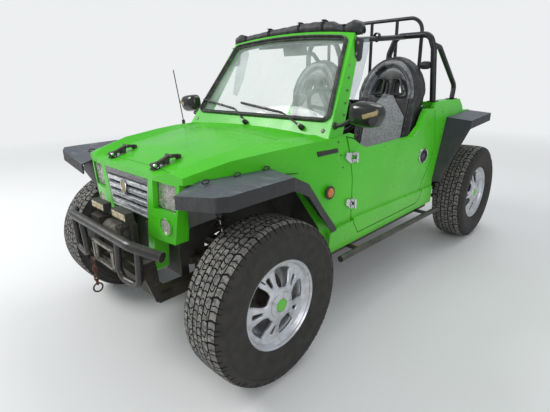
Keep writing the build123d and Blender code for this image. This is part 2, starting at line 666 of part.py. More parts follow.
# Doors: half doors with a scooped belt line, and the opening that they leave in the body
DOOR = [
    (DOOR_FRONT, SILL_TOP + 75), (DOOR_FRONT, 760), (-672, 900), (-640, 985), (-700, 968), (-780, 925),
    (-860, 897), (-1380, 902), (-1480, 960), (-1530, 1040), (-1560, 1058), (-1652, 1062), (-1712, 800),
    (-1656, 690), (-1560, 578), (-1505, 468), (-1445, SILL_TOP + PANEL_GAP), (-750, SILL_TOP + PANEL_GAP),
]
DOOR_LOWER = [
    (DOOR_FRONT, SILL_TOP + 75), (DOOR_FRONT, LEDGE_Z), (-1526, LEDGE_Z - LEDGE_DROP), (-1505, 468),
    (-1445, SILL_TOP + PANEL_GAP), (-750, SILL_TOP + PANEL_GAP),
]
DOOR_SHELL = 10
door_gap_face = offset(make_face(Polyline(DOOR, close=True)), PANEL_GAP, kind=Kind.INTERSECTION)
door_hole = Pos(0, LOWER_HALF + 10, 0) * extrude(SIDE_VIEW * door_gap_face, LOWER_HALF - 530)
door_pocket_face = offset(make_face(Polyline(DOOR, close=True)), -40, kind=Kind.INTERSECTION)
door_pocket = Pos(0, BODY_HALF - DOOR_SHELL, 0) * extrude(SIDE_VIEW * door_pocket_face, DOOR_T)
door = join(
    side_plate(DOOR, BODY_HALF - DOOR_T, BODY_HALF), side_plate(DOOR_LOWER, BODY_HALF - 1, LOWER_HALF)
) - door_pocket
for name, side in SIDES.items():
    put(f"door_{name}", flip(door, side))
for hole in both(door_hole):
    front = front - hole
put("front_body", front)

# Door hinges: barrels outside the skin, the front leaves on the body and the rear ones on the door
HINGE_X, HINGE_Y, HINGE_R = -700, 624, 7
HINGE_ARM = 6
LEAF_T = 4
# Height of the middle, front end of the body's leaf, where that leaf meets the body
HINGES = ((877, -622, -664), (624, -640, -690))
body_leaves = []
door_leaves = []
for z, front_x, meet_x in HINGES:
    body_leaves.append(
        side_plate(
            [(front_x, z + 33), (meet_x, z + 28), (meet_x, z - 30), (front_x + 4, z + 4)], 586, BODY_HALF + 10
        )
        - front
    )
    for s in (-1, 1):
        knuckle_z = (z + s * 9, z + s * 26)
        body_leaves.append(
            join(
                rod((HINGE_X, HINGE_Y, knuckle_z[0]), (HINGE_X, HINGE_Y, knuckle_z[1]), HINGE_R),
                block((HINGE_X - 4, HINGE_X + 4), (BODY_HALF + HINGE_ARM, HINGE_Y), knuckle_z),
                block((HINGE_X - 4, meet_x + 6), (BODY_HALF + HINGE_ARM, BODY_HALF + 10), knuckle_z),
            )
        )
    leaf_y = (BODY_HALF + SEAT_GAP, BODY_HALF + SEAT_GAP + LEAF_T)
    door_leaves.append(
        join(
            side_plate([(-710, z + 28), (-742, z + 12), (-728, z - 34), (-710, z - 30)], *leaf_y),
            block((-716, HINGE_X), (leaf_y[0], HINGE_Y), (z - 8, z + 8)),
            rod((HINGE_X, HINGE_Y, z - 8.5), (HINGE_X, HINGE_Y, z + 8.5), HINGE_R),
        )
    )
left_hinges = join(*body_leaves)
put("door_hinges", Compound(both(left_hinges)))
DOOR_LATCH = (-1530, 757)
DOOR_LATCH_R = 40
latch_x, latch_z = DOOR_LATCH
latch_plate = rod(
    (latch_x, BODY_HALF + SEAT_GAP, latch_z), (latch_x, BODY_HALF + 9, latch_z), DOOR_LATCH_R
) - rod((latch_x, BODY_HALF + 4, latch_z), (latch_x, BODY_HALF + 12, latch_z), DOOR_LATCH_R - 6)
latch_pull = block((latch_x - 30, latch_x + 30), (BODY_HALF + 3, BODY_HALF + 12), (latch_z - 3, latch_z + 13))
door_fittings = Compound([*door_leaves, join(latch_plate, latch_pull)])
for name, side in SIDES.items():
    put(f"door_fittings_{name}", flip(door_fittings, side))

# Sills and rear quarters with the cargo bed
GATE_HINGES = (-330, 330)
GATE_PIN_R = 8
LUG_HALF = 16
BARREL_HALF = 30
QUARTER = [
    (-1652 - PANEL_GAP, 1068), (-1690, QUARTER_TOP), (-2118, QUARTER_TOP), (-2150, TAIL_TOP),
    (TAIL_X, TAIL_TOP),
    (TAIL_X, 900), (-2232, 955), (-1880, 955), (-1722, 520), (-1700, SILL_BOTTOM),
    (-1440 - PANEL_GAP, SILL_BOTTOM), (-1440 - PANEL_GAP, SILL_TOP), (-1512, 468), (-1568, 582), (-1662, 692),
    (-1718, 800),
]
DECK_OUT = 581
CHAMFER_Z = 1040
bed_x = (BULKHEAD_X - SEAT_GAP, TAIL_X + TAILGATE_T + PANEL_GAP)
quarter = side_plate(QUARTER, INNER_HALF, BODY_HALF)
quarter = quarter - front_plate(
    [(DECK_OUT, QUARTER_TOP + 1), (BODY_HALF + 1, CHAMFER_Z), (BODY_HALF + 1, QUARTER_TOP + 1)], TAIL_X, -1600
)
half_rear = join(
    quarter,
    block((-2118, -1692), (BED_HALF - PANEL, INNER_HALF + 5), (QUARTER_TOP - PANEL, QUARTER_TOP)),
    block((-1700, -1692), (BED_HALF - PANEL, INNER_HALF + 5), (940 + PANEL, QUARTER_TOP - 1)),
    block((-2150, -2142), (BED_HALF - PANEL, INNER_HALF + 5), (TAIL_TOP - PANEL, QUARTER_TOP - 62)),
    side_plate(
        [(-2110, QUARTER_TOP), (-2118, QUARTER_TOP), (-2150, TAIL_TOP), (-2142, TAIL_TOP)],
        BED_HALF - PANEL, INNER_HALF + 5,
    ),
    block((-2145, TAIL_X), (BED_HALF - PANEL, BODY_HALF - 30), (TAIL_TOP - PANEL, TAIL_TOP)),
    side_plate(
        [
            (bed_x[0], QUARTER_TOP), (-2118, QUARTER_TOP), (-2150, TAIL_TOP), (bed_x[1], TAIL_TOP),
            (bed_x[1], BED_FLOOR - PANEL), (bed_x[0], BED_FLOOR - PANEL),
        ],
        BED_HALF - PANEL, BED_HALF,
    ),
    block((TAIL_X, TAIL_X + 40), (BED_HALF - 2, BODY_HALF - 2), (BED_FLOOR - PANEL, TAIL_TOP)),
)
half_rear = half_rear - door_hole
bed_floor = block(bed_x, (-BED_HALF + 1, BED_HALF - 1), (BED_FLOOR - PANEL, BED_FLOOR))
gate_lugs = [
    join(
        rod((TAIL_X, y - LUG_HALF, TAILGATE_BOTTOM), (TAIL_X, y + LUG_HALF, TAILGATE_BOTTOM), GATE_PIN_R),
        block((TAIL_X, bed_x[1] + 10), (y - LUG_HALF, y + LUG_HALF), (BED_FLOOR - PANEL, BED_FLOOR - 1)),
        block((TAIL_X - GATE_PIN_R, TAIL_X + GATE_PIN_R), (y - LUG_HALF, y + LUG_HALF),
              (BED_FLOOR - PANEL, TAILGATE_BOTTOM)),
    )
    for y in GATE_HINGES
]
rear_body = join(both(half_rear), bed_floor, gate_lugs)
put("rear_body", rear_body)
SILL = [
    (-480, SILL_BOTTOM), (-488, 505), (-560, 522), (-710, 526), (-745, SILL_TOP), (-1440, SILL_TOP),
    (-1505, 470), (-1548, 520), (-1700, 515), (-1690, SILL_BOTTOM),
]
sill = side_plate(SILL, BODY_HALF - 20, LOWER_HALF)
sill_web = block((-1438, -703), (INNER_HALF, BODY_HALF - 10), (SILL_BOTTOM, SILL_TOP - 6))
half_sill = join(sill, sill_web) - door_hole - front - rear_body
put("sills", Compound(both(half_sill)))

# Tailgate between the tail posts
gate_half = BED_HALF - PANEL - PANEL_GAP
tailgate = block((TAIL_X, TAIL_X + TAILGATE_T), (-gate_half, gate_half), (TAILGATE_BOTTOM, TAIL_TOP))
for y in GATE_HINGES:
    tailgate = tailgate - block(
        (TAIL_X - 1, TAIL_X + TAILGATE_T + 1), (y - LUG_HALF - 0.5, y + LUG_HALF + 0.5),
        (TAILGATE_BOTTOM - 1, TAILGATE_BOTTOM + 2 * GATE_PIN_R),
    )
gate_barrels = [
    rod(
        (TAIL_X, y + s * (LUG_HALF + 0.5), TAILGATE_BOTTOM),
        (TAIL_X, y + s * (LUG_HALF + BARREL_HALF), TAILGATE_BOTTOM), GATE_PIN_R,
    )
    for y in GATE_HINGES
    for s in (-1, 1)
]
tailgate = tailgate - block(
    (TAIL_X + PANEL, TAIL_X + TAILGATE_T + 1), (-gate_half + 30, gate_half - 30),
    (TAILGATE_BOTTOM + 30, TAIL_TOP - 30),
)
put("tailgate", join(tailgate, gate_barrels))


# Flares: a skin ruled from the body's side out to the wheel's outer face, with a deep lip
def flare_wedge(inner, outer, drop, sink):
    """A body between two side views, given at the body and at the outer face, sunk by a thickness."""
    faces = []
    for line, y in ((inner, FLARE_IN), (outer, FLARE_OUT)):
        points = [(x, z - sink) for x, z in line] + [(x, z - sink - drop) for x, z in reversed(line)]
        faces.append(Pos(0, y, 0) * (SIDE_VIEW * make_face(Polyline(points, close=True))))
    return loft(faces, ruled=True)


def flare(inner, outer, plan, plan_in):
    skin = flare_wedge(inner, outer, FLARE_LIP, 0) & plan_plate(plan, 300, 1200)
    hollow = flare_wedge(inner, outer, 2 * FLARE_LIP, FLARE_T) & plan_plate(plan_in, 300, 1200)
    return skin - hollow


FLARE_IN, FLARE_OUT = 420, 775
front_flare = flare(
    [(300, 848), (172, 892), (-200, 893), (-318, 831), (-535, 527)],
    [(300, 912), (200, 913), (-52, 915), (-170, 858), (-480, 560)],
    [
        (290, 452), (290, 706), (262, FRONT_FLARE_HALF), (-62, FRONT_FLARE_HALF), (-360, 668), (-530, 645),
        (-530, 592), (-320, 564), (40, 494), (226, 440),
    ],
    [
        (290 - FLARE_T, 300), (290 - FLARE_T, 703), (259, FRONT_FLARE_HALF - FLARE_T),
        (-60, FRONT_FLARE_HALF - FLARE_T), (-358, 660), (-560, 634), (-560, 300),
    ],
)
front_flare = front_flare - block((-700, -300), (380, 900), (300, LEDGE_Z - 4))
rear_flare = flare(
    [(-2275, 1022), (-1845, 1006), (-1700, 545), (-1695, 500)],
    [(-2275, 992), (-1880, 966), (-1738, 545), (-1733, 500)],
    [
        (-2268, BODY_HALF + SEAT_GAP), (-2268, REAR_FLARE_HALF), (-1880, REAR_FLARE_HALF), (-1740, 650),
        (-1700, 648), (-1700, BODY_HALF + SEAT_GAP),
    ],
    [
        (-2268 + FLARE_T, 500), (-2268 + FLARE_T, REAR_FLARE_HALF - FLARE_T),
        (-1882, REAR_FLARE_HALF - FLARE_T),
        (-1744, 642), (-1690, 640), (-1690, 500),
    ],
)
rear_flare = rear_flare - block((-2300, -1600), (380, 900), (300, LEDGE_Z + 4))
for name, side in SIDES.items():
    put(f"flare_front_{name}", flip(front_flare - outer_front - half_sill, side))
    put(f"flare_rear_{name}", flip(rear_flare, side))

# Roll hoops on foot plates, rear braces, roof bars and the harness bar
HOOP_X = -1690
HOOP_TOP = 1528
HARNESS_Z = 1080
FOOT_T = 6
foot_z = QUARTER_TOP + SEAT_GAP
hoop = bent_tube(
    [
        (HOOP_X - 12, 556, foot_z + FOOT_T - 1), (HOOP_X, 534, 1440), (HOOP_X, 500, HOOP_TOP),
        (HOOP_X, 262, HOOP_TOP), (HOOP_X, 214, 1420), (HOOP_X, 176, HARNESS_Z),
    ],
    HOOP_R, 58,
)
brace = bent_tube(
    [(HOOP_X, 530, 1462), (-1765, 540, 1448), (-2072, 546, 1192), (-2036, 552, foot_z + FOOT_T - 1)],
    HOOP_R - 3, 45,
)
hoop_foot = block((HOOP_X - 52, HOOP_X + 4), (524, 579), (foot_z, foot_z + FOOT_T))
brace_foot = block((-2070, -2002), (522, 579), (foot_z, foot_z + FOOT_T))
harness_bar = rod((HOOP_X, -INNER_HALF + 90, HARNESS_Z), (HOOP_X, INNER_HALF - 90, HARNESS_Z), HOOP_R - 3)
roof_bar = rod(on_shield(308, SHIELD_RUN + 12, -FLANGE_HEAD - 9), (HOOP_X, 320, HOOP_TOP - 6), ROOF_R)
cage = join(both(hoop), both(brace), both(hoop_foot), both(brace_foot), both(roof_bar), harness_bar)
put("roll_cage", cage - shield - rear_body)

# Tall rack behind the hoops
RACK_X = -1786
RACK_TOP = 1649
RACK_HALF = 396
RACK_FOOT_Z = 935
rack = bent_tube(
    [
        (RACK_X, s * RACK_HALF, z)
        for s, z in ((1, RACK_FOOT_Z), (1, RACK_TOP), (-1, RACK_TOP), (-1, RACK_FOOT_Z))
    ],
    RACK_R, 90,
)
POST_PLACES = (-205, 0, 205)
posts = [rod((RACK_X, y, RACK_FOOT_Z), (RACK_X, y, RACK_TOP), RACK_R - 1) for y in POST_PLACES]
stays = [
    rod((RACK_X, y, RACK_FOOT_Z), (BULKHEAD_X - SEAT_GAP, y, RACK_FOOT_Z), RACK_R - 1)
    for y in (-RACK_HALF + 20, 0, RACK_HALF - 20)
]
rack_foot = rod((RACK_X, -RACK_HALF, RACK_FOOT_Z), (RACK_X, RACK_HALF, RACK_FOOT_Z), RACK_R)
put("rear_rack", join(rack, posts, stays, rack_foot))

# Rolled soft top tied along the windshield header, with a lump at each end
# Columns: place across, radius
ROLL = (
    (-498, 16), (-484, 34), (-430, 37), (-402, 20), (-330, 21), (-180, 27), (0, 33), (190, 38), (330, 35),
    (392, 20), (420, 34), (490, 38), (510, 18),
)
sections = []
for y, r in ROLL:
    rise = HEADER_BOW * max(0, 1 - (y / SHIELD_HEAD_HALF) ** 2)
    x, _, z = on_shield(y, SHIELD_RUN + rise + r + 1, -22)
    sections.append(Pos(x, y, z) * (SIDE_VIEW * Circle(r)))
roll = loft(sections, ruled=True)
put("soft_top", roll - shield - cage)

# Bull bar with two hanging loops, its mounting horns and the winch tray
BAR_X = FRONT_REACH - BAR_R
BAR_Z = 648
BAR_END_X = BAR_X - 62
LOOP_LOW = 463
TRAY_Z = 552
TRAY_T = 10
FAIRLEAD_T = 18
bar = bent_tube(
    [(BAR_END_X, -445, 622), (BAR_X, -300, BAR_Z), (BAR_X, 300, BAR_Z), (BAR_END_X, 445, 622)], BAR_R, 90
)
loop = bent_tube(
    [(BAR_X, 192, BAR_Z), (BAR_X, 166, LOOP_LOW), (BAR_X - 14, 318, LOOP_LOW), (BAR_X - 16, 338, BAR_Z - 10)],
    LOOP_R, 46,
)
horn = side_plate(
    [
        (RAIL_FRONT - 60, RAIL_BOTTOM + 14), (RAIL_FRONT + 20, RAIL_BOTTOM + 18), (BAR_X - 34, TRAY_Z - 40),
        (BAR_X - 34, TRAY_Z - SEAT_GAP), (BAR_X - 100, TRAY_Z - SEAT_GAP), (RAIL_FRONT - 10, RAIL_TOP - 10),
        (RAIL_FRONT - 60, RAIL_TOP - 10),
    ],
    RAIL_OUT + SEAT_GAP, RAIL_OUT + 12,
)
tray = block(
    (BAR_X - 130, BAR_X - 22 - SEAT_GAP), (-RAIL_OUT - 6, RAIL_OUT + 6), (TRAY_Z - TRAY_T, TRAY_Z - SEAT_GAP)
)
loop_ties = [
    block((BAR_X - 32, BAR_X - 8), (300, 330), (490, 512)),
    block((BAR_X - 26, BAR_X - 8), (160, 196), (TRAY_Z - TRAY_T, TRAY_Z - SEAT_GAP)),
]
put("bull_bar", join(bar, both(loop), both(horn), tray, [both(tie)[k] for tie in loop_ties for k in (0, 1)]))

# Winch behind the bar, its fairlead with two rollers, and the chain with its ring
winch = join(
    block((BAR_X - 128, BAR_X - 34), (-150, -60), (TRAY_Z, 676)),
    rod((BAR_X - 80, -62, 620), (BAR_X - 80, 92, 620), 36),
    block((BAR_X - 122, BAR_X - 40), (90, 140), (TRAY_Z, 672)),
    block((BAR_X - 122, BAR_X - 40), (-150, 140), (TRAY_Z, 566)),
)
put("winch", winch)
LEAD_HALF = 112
LEAD_LOW = 462
LEAD_HIGH = 568
ROLLER_R = 8
lead_x = (BAR_X - 22, BAR_X - 22 + FAIRLEAD_T)
lead = block(lead_x, (-LEAD_HALF, LEAD_HALF), (LEAD_LOW, LEAD_HIGH)) - block(
    (BAR_X - 30, BAR_X), (-LEAD_HALF + 16, LEAD_HALF - 16), (LEAD_LOW + 14, LEAD_HIGH - 14)
)
roller_x = BAR_X - 22 + FAIRLEAD_T / 2
rollers = [
    rod(
        (roller_x, s * (LEAD_HALF - 28), LEAD_LOW + 10), (roller_x, s * (LEAD_HALF - 28), LEAD_HIGH - 10),
        ROLLER_R,
    )
    for s in (-1, 1)
]
CHAIN_X = BAR_X + 8
CHAIN_Y = -98
LEAD_PIN_Z = LEAD_LOW + 6
LEAD_PIN_R = 4.5
shackle = join(
    [
        block((BAR_X - 5, CHAIN_X + 6), (CHAIN_Y + s * 8 - 3, CHAIN_Y + s * 8 + 3), (LEAD_LOW, LEAD_LOW + 13))
        for s in (-1, 1)
    ],
    rod((CHAIN_X, CHAIN_Y - 10, LEAD_PIN_Z), (CHAIN_X, CHAIN_Y + 10, LEAD_PIN_Z), LEAD_PIN_R),
)
put("fairlead", join(lead, rollers, shackle))
LINK_W, LINK_L, LINK_T = 24, 36, 6
LINKS = 6
RING_R, RING_WIRE = 22, 4
pitch = LINK_L - 2 * LINK_T - SEAT_GAP
link_face = SlotOverall(LINK_L, LINK_W, 90) - SlotOverall(LINK_L - 2 * LINK_T, LINK_W - 2 * LINK_T, 90)
link = extrude(link_face, LINK_T / 2, both=True)
chain_top = LEAD_PIN_Z + LEAD_PIN_R + SEAT_GAP - (LINK_L / 2 - LINK_T)
chain = [
    Pos(CHAIN_X, CHAIN_Y, chain_top - k * pitch) * Rot(0, 0, 90 * (k % 2)) * Rot(90, 0, 0) * link
    for k in range(LINKS)
]
last_inside = chain_top - (LINKS - 1) * pitch - LINK_L / 2 + LINK_T
ring_z = last_inside + SEAT_GAP + 2 * RING_WIRE - RING_R - RING_WIRE
ring = Pos(CHAIN_X, CHAIN_Y, ring_z) * Rot(0, 0, 90 * (LINKS % 2)) * Rot(90, 0, 0) * Torus(RING_R, RING_WIRE)
put("chain", Compound(chain + [ring]))

# Light bar with two square lamps
LIGHT_Z = 702
light_x = (BAR_X - 92, BAR_X - 58)
bracket_x = (BAR_X - 86, BAR_X - 74)
light_bar = join(
    [block(light_x, sorted((s * 38, s * 178)), (LIGHT_Z - 2, LIGHT_Z + 38)) for s in (-1, 1)],
    block(bracket_x, (-190, 190), (LIGHT_Z - 12, LIGHT_Z)),
    [block(bracket_x, (s * 168 - 6, s * 168 + 6), (TRAY_Z, LIGHT_Z - 10)) for s in (-1, 1)],
)
put("light_bar", light_bar)

# Side steps
STEP_ARM_Z = 369
step = join(
    rod((-520, 665, 372), (-1690, 665, 352), STEP_R),
    [
        rod((x, SILL_TUBE_Y + 20 + SEAT_GAP, STEP_ARM_Z), (x, 665, STEP_ARM_Z), 12)
        for x in (-700, -1520)
    ],
)
put("side_steps", Compound(both(step)))

# Engine and gearbox block
engine = block((-2400, -1850), (-GEARBOX_HALF - 4, GEARBOX_HALF + 4), (RAIL_TOP + SEAT_GAP, 730))
for corner in both(carrier):
    engine = engine - corner
put("engine", engine)

# Seats: high-backed buckets with side bolsters and two harness slots
SEAT_MIDDLE = 320
SEAT_HALF = 222
BOLSTER = 52
BOLSTER_RISE = 42
CUSHION_TOP = 600
RUNNER_HALF = 150
BACK_FRONT = [(-1352, 560), (-1440, 900), (-1545, 1380)]
BACK_REAR = [(-1610, 1412), (-1655, 1396), (-1640, 1320), (-1570, 900), (-1480, 560)]


def seat_arch(inset):
    """The back's outline seen from the front, straight below and arched above the shoulders."""
    half, shoulder, top = SEAT_HALF - inset, 1110, 1404 - inset
    waist = (half * 0.76, shoulder + (top - shoulder) * 0.68)
    lines = [
        Polyline([(-half, shoulder), (-half, 400), (half, 400), (half, shoulder)]),
        ThreePointArc((half, shoulder), waist, (0, top)),
        ThreePointArc((0, top), (-waist[0], waist[1]), (-half, shoulder)),
    ]
    return make_face(lines)


def seat():
    arch = front_plate(seat_arch(0), -1800, -1200)
    back = side_plate(BACK_FRONT + BACK_REAR, -300, 300) & arch
    scoop_outline = [(x + 60, z) for x, z in BACK_FRONT] + [(x - 26, z) for x, z in reversed(BACK_FRONT)]
    back = back - (side_plate(scoop_outline, -300, 300) & front_plate(seat_arch(BOLSTER), -1800, -1200))
    for s in (-1, 1):
        slot = [(s * 37, 1160), (s * 37, 1245), (s * 80, 1242), (s * 112, 1160)]
        back = back - front_plate(slot, -1750, -1400)
    side_view = side_plate(
        [(-1500, 470), (-1065, 470), (-1012, 505), (-1000, 570), (-1024, 640), (-1500, 660)], -300, 300
    )
    top = CUSHION_TOP
    rise = top + BOLSTER_RISE
    section = [
        (-SEAT_HALF + 6, 470), (SEAT_HALF - 6, 470), (SEAT_HALF, rise - 30), (SEAT_HALF - 20, rise),
        (SEAT_HALF - BOLSTER, rise - 6), (SEAT_HALF - BOLSTER - 26, top), (-SEAT_HALF + BOLSTER + 26, top),
        (-SEAT_HALF + BOLSTER, rise - 6), (-SEAT_HALF + 20, rise), (-SEAT_HALF, rise - 30),
    ]
    cushion = front_plate(section, -1490, -1000) & side_view
    runner = block((-1420, -1100), (-RUNNER_HALF, RUNNER_HALF), (FLOOR_TOP + SEAT_GAP, 471))
    return Pos(0, SEAT_MIDDLE, 0) * join(cushion, back, runner)


seat_shape = seat()
for name, side in SIDES.items():
    put(f"seat_{name}", flip(seat_shape, side))

# Dashboard, with the hole for the column
STEER_HUB = Vector(-930, 270, 1075)
COLUMN_LOW = Vector(-655, 270, 880)
COLUMN_R = 16
DASH = [
    (-552, 790), (-552, 965), (-580, 996), (-640, 1000), (-755, 972), (-775, 900), (-740, 812), (-680, 790),
]
DASH_HALF = 513
column_dir = (STEER_HUB - COLUMN_LOW).normalized()
column_end = STEER_HUB - column_dir * SEAT_GAP
dash = side_plate(DASH, -DASH_HALF, DASH_HALF)
binnacle = rod((-735, 270, 975), (-785, 270, 1010), 62) & block((-830, -600), (190, 350), (960, 1060))
dash_feet = [
    block((-570, FLOOR_FRONT - PANEL - SEAT_GAP), sorted((s * 380, s * 440)), (800, 850)) for s in (-1, 1)
]
dash = join(dash, binnacle, dash_feet)
dash = dash - rod(tuple(COLUMN_LOW - column_dir * SEAT_GAP), tuple(STEER_HUB), COLUMN_R + SEAT_GAP)
put("dashboard", dash)

# Steering: column, tie rods and wheel
put("steering_column", rod(tuple(COLUMN_LOW), tuple(column_end), COLUMN_R))
tie = join(
    rod((-RACK_ARM, -KINGPIN_Y + 10, LINK_Z), (-RACK_ARM, KINGPIN_Y - 10, LINK_Z), LINK_R),
    [Pos(-RACK_ARM, s * KINGPIN_Y, LINK_Z) * Cylinder(18, LINK_EYE_T) for s in (-1, 1)],
)
put("tie_rods", tie)
WHEEL_GRIP = 158
GRIP_R = 13
SPOKE_ANGLES = (-10, 190, 270)
wheel_plane = Plane(origin=STEER_HUB, x_dir=(0, 1, 0), z_dir=column_dir)
steering = join(
    Torus(WHEEL_GRIP, GRIP_R), Cylinder(38, 22),
    [Rot(0, 0, a) * block((20, WHEEL_GRIP), (-11, 11), (-5, 5)) for a in SPOKE_ANGLES],
)
put("steering_wheel", wheel_plane.location * (Pos(0, 0, 11) * steering))

# Levers in the middle of the cabin
levers = join(
    block((-1040, -960), (-30, 30), (TUNNEL_TOP + SEAT_GAP, TUNNEL_TOP + 22)),
    rod((-1000, 0, TUNNEL_TOP + 12), (-1040, 0, 800), 9),
    Pos(-1042, 0, 815) * Sphere(22),
)
put("levers", levers)

# Mirrors on arms from the windshield's foot, both as far out; the right one is swung further back
MIRROR_PLACE = {"left": -572, "right": -622}
MIRROR_OUT = 825


def door_mirror(x):
    arm = rod((-566, 571, 1047), (x + 8, 668, 1078), 9)
    shell = [(x - 30, 1058), (x + 20, 1066), (x + 42, 1092), (x + 42, 1130), (x + 18, 1156), (x - 30, 1164)]
    head = side_plate(shell, 650, MIRROR_OUT)
    trim = front_plate(
        [
            (650, 1080), (668, 1060), (780, 1050), (822, 1090), (MIRROR_OUT + 1, 1128), (800, 1160),
            (690, 1168),
            (655, 1140),
        ],
        x - 60, x + 80,
    )
    return join(arm, head & trim)


for name, side in SIDES.items():
    put(f"mirror_{name}", flip(door_mirror(MIRROR_PLACE[name]) - shield, side))

# Inner mirror on the header, and two wipers on the windshield's foot
inner_head = side_plate([(-934, 1404), (-910, 1400), (-898, 1466), (-922, 1470)], -86, 86)
inner_stalk = rod((-910, 0, 1455), on_shield(0, SHIELD_RUN + 22, -SHIELD_T - 1), 7)
put("inner_mirror", join(inner_head, inner_stalk) - shield)
# Pivot, blade's inner end and blade's outer end, each as place across and run up the windshield
WIPERS = (((-42, 43), (-181, 122), (-534, 174)), ((390, 46), (226, 117), (-150, 165)))
wipers = []
for pivot, near, far in WIPERS:
    arm_end = [near[k] + (far[k] - near[k]) * 0.35 for k in (0, 1)]
    wipers.append(
        join(
            rod(on_shield(*pivot, 0.3), on_shield(*pivot, 20), 10),
            rod(on_shield(*pivot, 14), on_shield(*near, 8), 5),
            rod(on_shield(*near, 8), on_shield(*arm_end, 5), 4),
            rod(on_shield(*near, 6), on_shield(*far, 6), 5),
        )
    )
put("wipers", Compound(wipers))

# Antenna on the right of the cowl
antenna = join(
    rod((-410, -520, 975), (-410, -520, 1024), 10), rod((-410, -520, 1020), (-372, -526, 1330), 3)
)
put("antenna", antenna - outer_front)

# Tail lamps, rear bumper and tow plate
lamp = block((TAIL_X - 18, TAIL_X - SEAT_GAP), (BED_HALF + 10, BODY_HALF - 10), (840, 1000))
put("tail_lamps", Compound(both(lamp)))
BUMPER_X = -REAR_REACH
BUMPER_Z = 480
BUMPER_R = 22
BUMPER_HALF = RAIL_OUT + 20
HITCH_HALF = 40
HITCH_T = 12
HITCH_HOLE_R = 10
HITCH_HOLE_X = BUMPER_X + 22
tube_x = BUMPER_X + 76
tube = bent_tube(
    [
        (RAIL_REAR + 70, -BUMPER_HALF, BUMPER_Z), (tube_x, -BUMPER_HALF, BUMPER_Z),
        (tube_x, BUMPER_HALF, BUMPER_Z),
        (RAIL_REAR + 70, BUMPER_HALF, BUMPER_Z),
    ],
    BUMPER_R, 60,
)
hitch = block((BUMPER_X, RAIL_REAR - SEAT_GAP), (-HITCH_HALF, HITCH_HALF), (RAIL_TOP - HITCH_T, RAIL_TOP))
hitch = hitch - rod((HITCH_HOLE_X, 0, RAIL_TOP - 30), (HITCH_HOLE_X, 0, RAIL_TOP + 30), HITCH_HOLE_R)
riser = block(
    (RAIL_REAR + 20, RAIL_REAR + 60), (RAIL_OUT - 20, RAIL_OUT + 20), (RAIL_TOP + SEAT_GAP, BUMPER_Z)
)
gusset = block((tube_x - 6, RAIL_REAR - SEAT_GAP), (HITCH_HALF - 8, HITCH_HALF), (RAIL_TOP - 1, BUMPER_Z))
put("rear_bumper", join(tube, both(riser), hitch, both(gusset)))
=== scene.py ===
"""A small open two-seater for rough ground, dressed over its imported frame."""

import math
import random

import bmesh
import bpy
from bpy.props import FloatProperty, FloatVectorProperty, IntProperty, PointerProperty
from mathutils import Matrix, Vector
from mathutils.bvhtree import BVHTree


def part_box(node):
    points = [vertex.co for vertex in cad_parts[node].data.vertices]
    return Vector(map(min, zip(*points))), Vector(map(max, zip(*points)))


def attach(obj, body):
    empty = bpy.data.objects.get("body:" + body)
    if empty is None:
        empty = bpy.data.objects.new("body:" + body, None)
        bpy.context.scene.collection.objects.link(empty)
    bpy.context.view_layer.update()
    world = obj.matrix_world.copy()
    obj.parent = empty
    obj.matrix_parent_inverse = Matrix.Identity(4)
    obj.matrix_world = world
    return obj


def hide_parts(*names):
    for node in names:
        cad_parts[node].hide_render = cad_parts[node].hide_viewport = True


bl_info = {
    "name": "Open Two-Seater",
    "version": (1, 0, 0),
    "blender": (4, 5, 0),
    "location": "3D View > Sidebar > Vehicle",
    "description": "Dresses the packed frame of a small open vehicle for rough ground",
    "category": "Object",
}

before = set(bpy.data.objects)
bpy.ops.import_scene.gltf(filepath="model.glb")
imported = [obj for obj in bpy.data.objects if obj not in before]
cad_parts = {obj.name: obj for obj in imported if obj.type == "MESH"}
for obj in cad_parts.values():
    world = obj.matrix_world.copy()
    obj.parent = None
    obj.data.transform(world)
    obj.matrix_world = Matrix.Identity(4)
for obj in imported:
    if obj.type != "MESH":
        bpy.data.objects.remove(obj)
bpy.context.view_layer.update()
MM = 0.001
SIDES = {"left": 1, "right": -1}


def middle(node):
    """The middle of a node's box, in metres."""
    low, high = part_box(node)
    return (low + high) / 2


# The front axle's place along the vehicle: measures below are millimetres from it, as in the CAD source
AXLE = middle("wheel_front_left").x / MM
WHEEL_Y = middle("wheel_front_left").y / MM
WHEEL_Z = middle("wheel_front_left").z / MM
REAR_AXLE = middle("wheel_rear_left").x / MM - AXLE
AXLES = {"front": 0, "rear": REAR_AXLE}


def at(x, y, z):
    """A place in metres from millimetres ahead of the front axle, to the left and up."""
    return Vector((x + AXLE, y, z)) * MM


# Windshield plane: foot, head and lean, half widths, widths of the bars, the bow of the header and the radius of the
# opening's corners, in millimetres
FOOT = Vector((-505, 0, 990))
HEAD = Vector((-850, 0, 1496))
LEAN = (HEAD - FOOT).normalized()
OUT = Vector((LEAN.z, 0, -LEAN.x))
RUN = (HEAD - FOOT).length
FOOT_HALF, HEAD_HALF = 584, 477
FOOT_BAR, HEAD_BAR, SIDE_BAR = 92, 34, 34
BOW = 37
CORNER = 38


def shield_half(run):
    """Half the windshield frame's width at a height along its lean."""
    return FOOT_HALF + (HEAD_HALF - FOOT_HALF) * run / RUN


def header_rise(y):
    """How far the bowed header stands up at a place across."""
    return BOW * max(0, 1 - (y / HEAD_HALF) ** 2)


def on_shield(y, run, out=0.0):
    """A place on the windshield: across, up along the lean, and out from its front face."""
    place = FOOT + LEAN * run + OUT * out
    return at(place.x, y, place.z)


def linear(hex_colour):
    """A linear colour from an sRGB hex value."""
    channels = [int(hex_colour[k:k + 2], 16) / 255 for k in (1, 3, 5)]
    return [c / 12.92 if c <= 0.04045 else ((c + 0.055) / 1.055) ** 2.4 for c in channels] + [1.0]


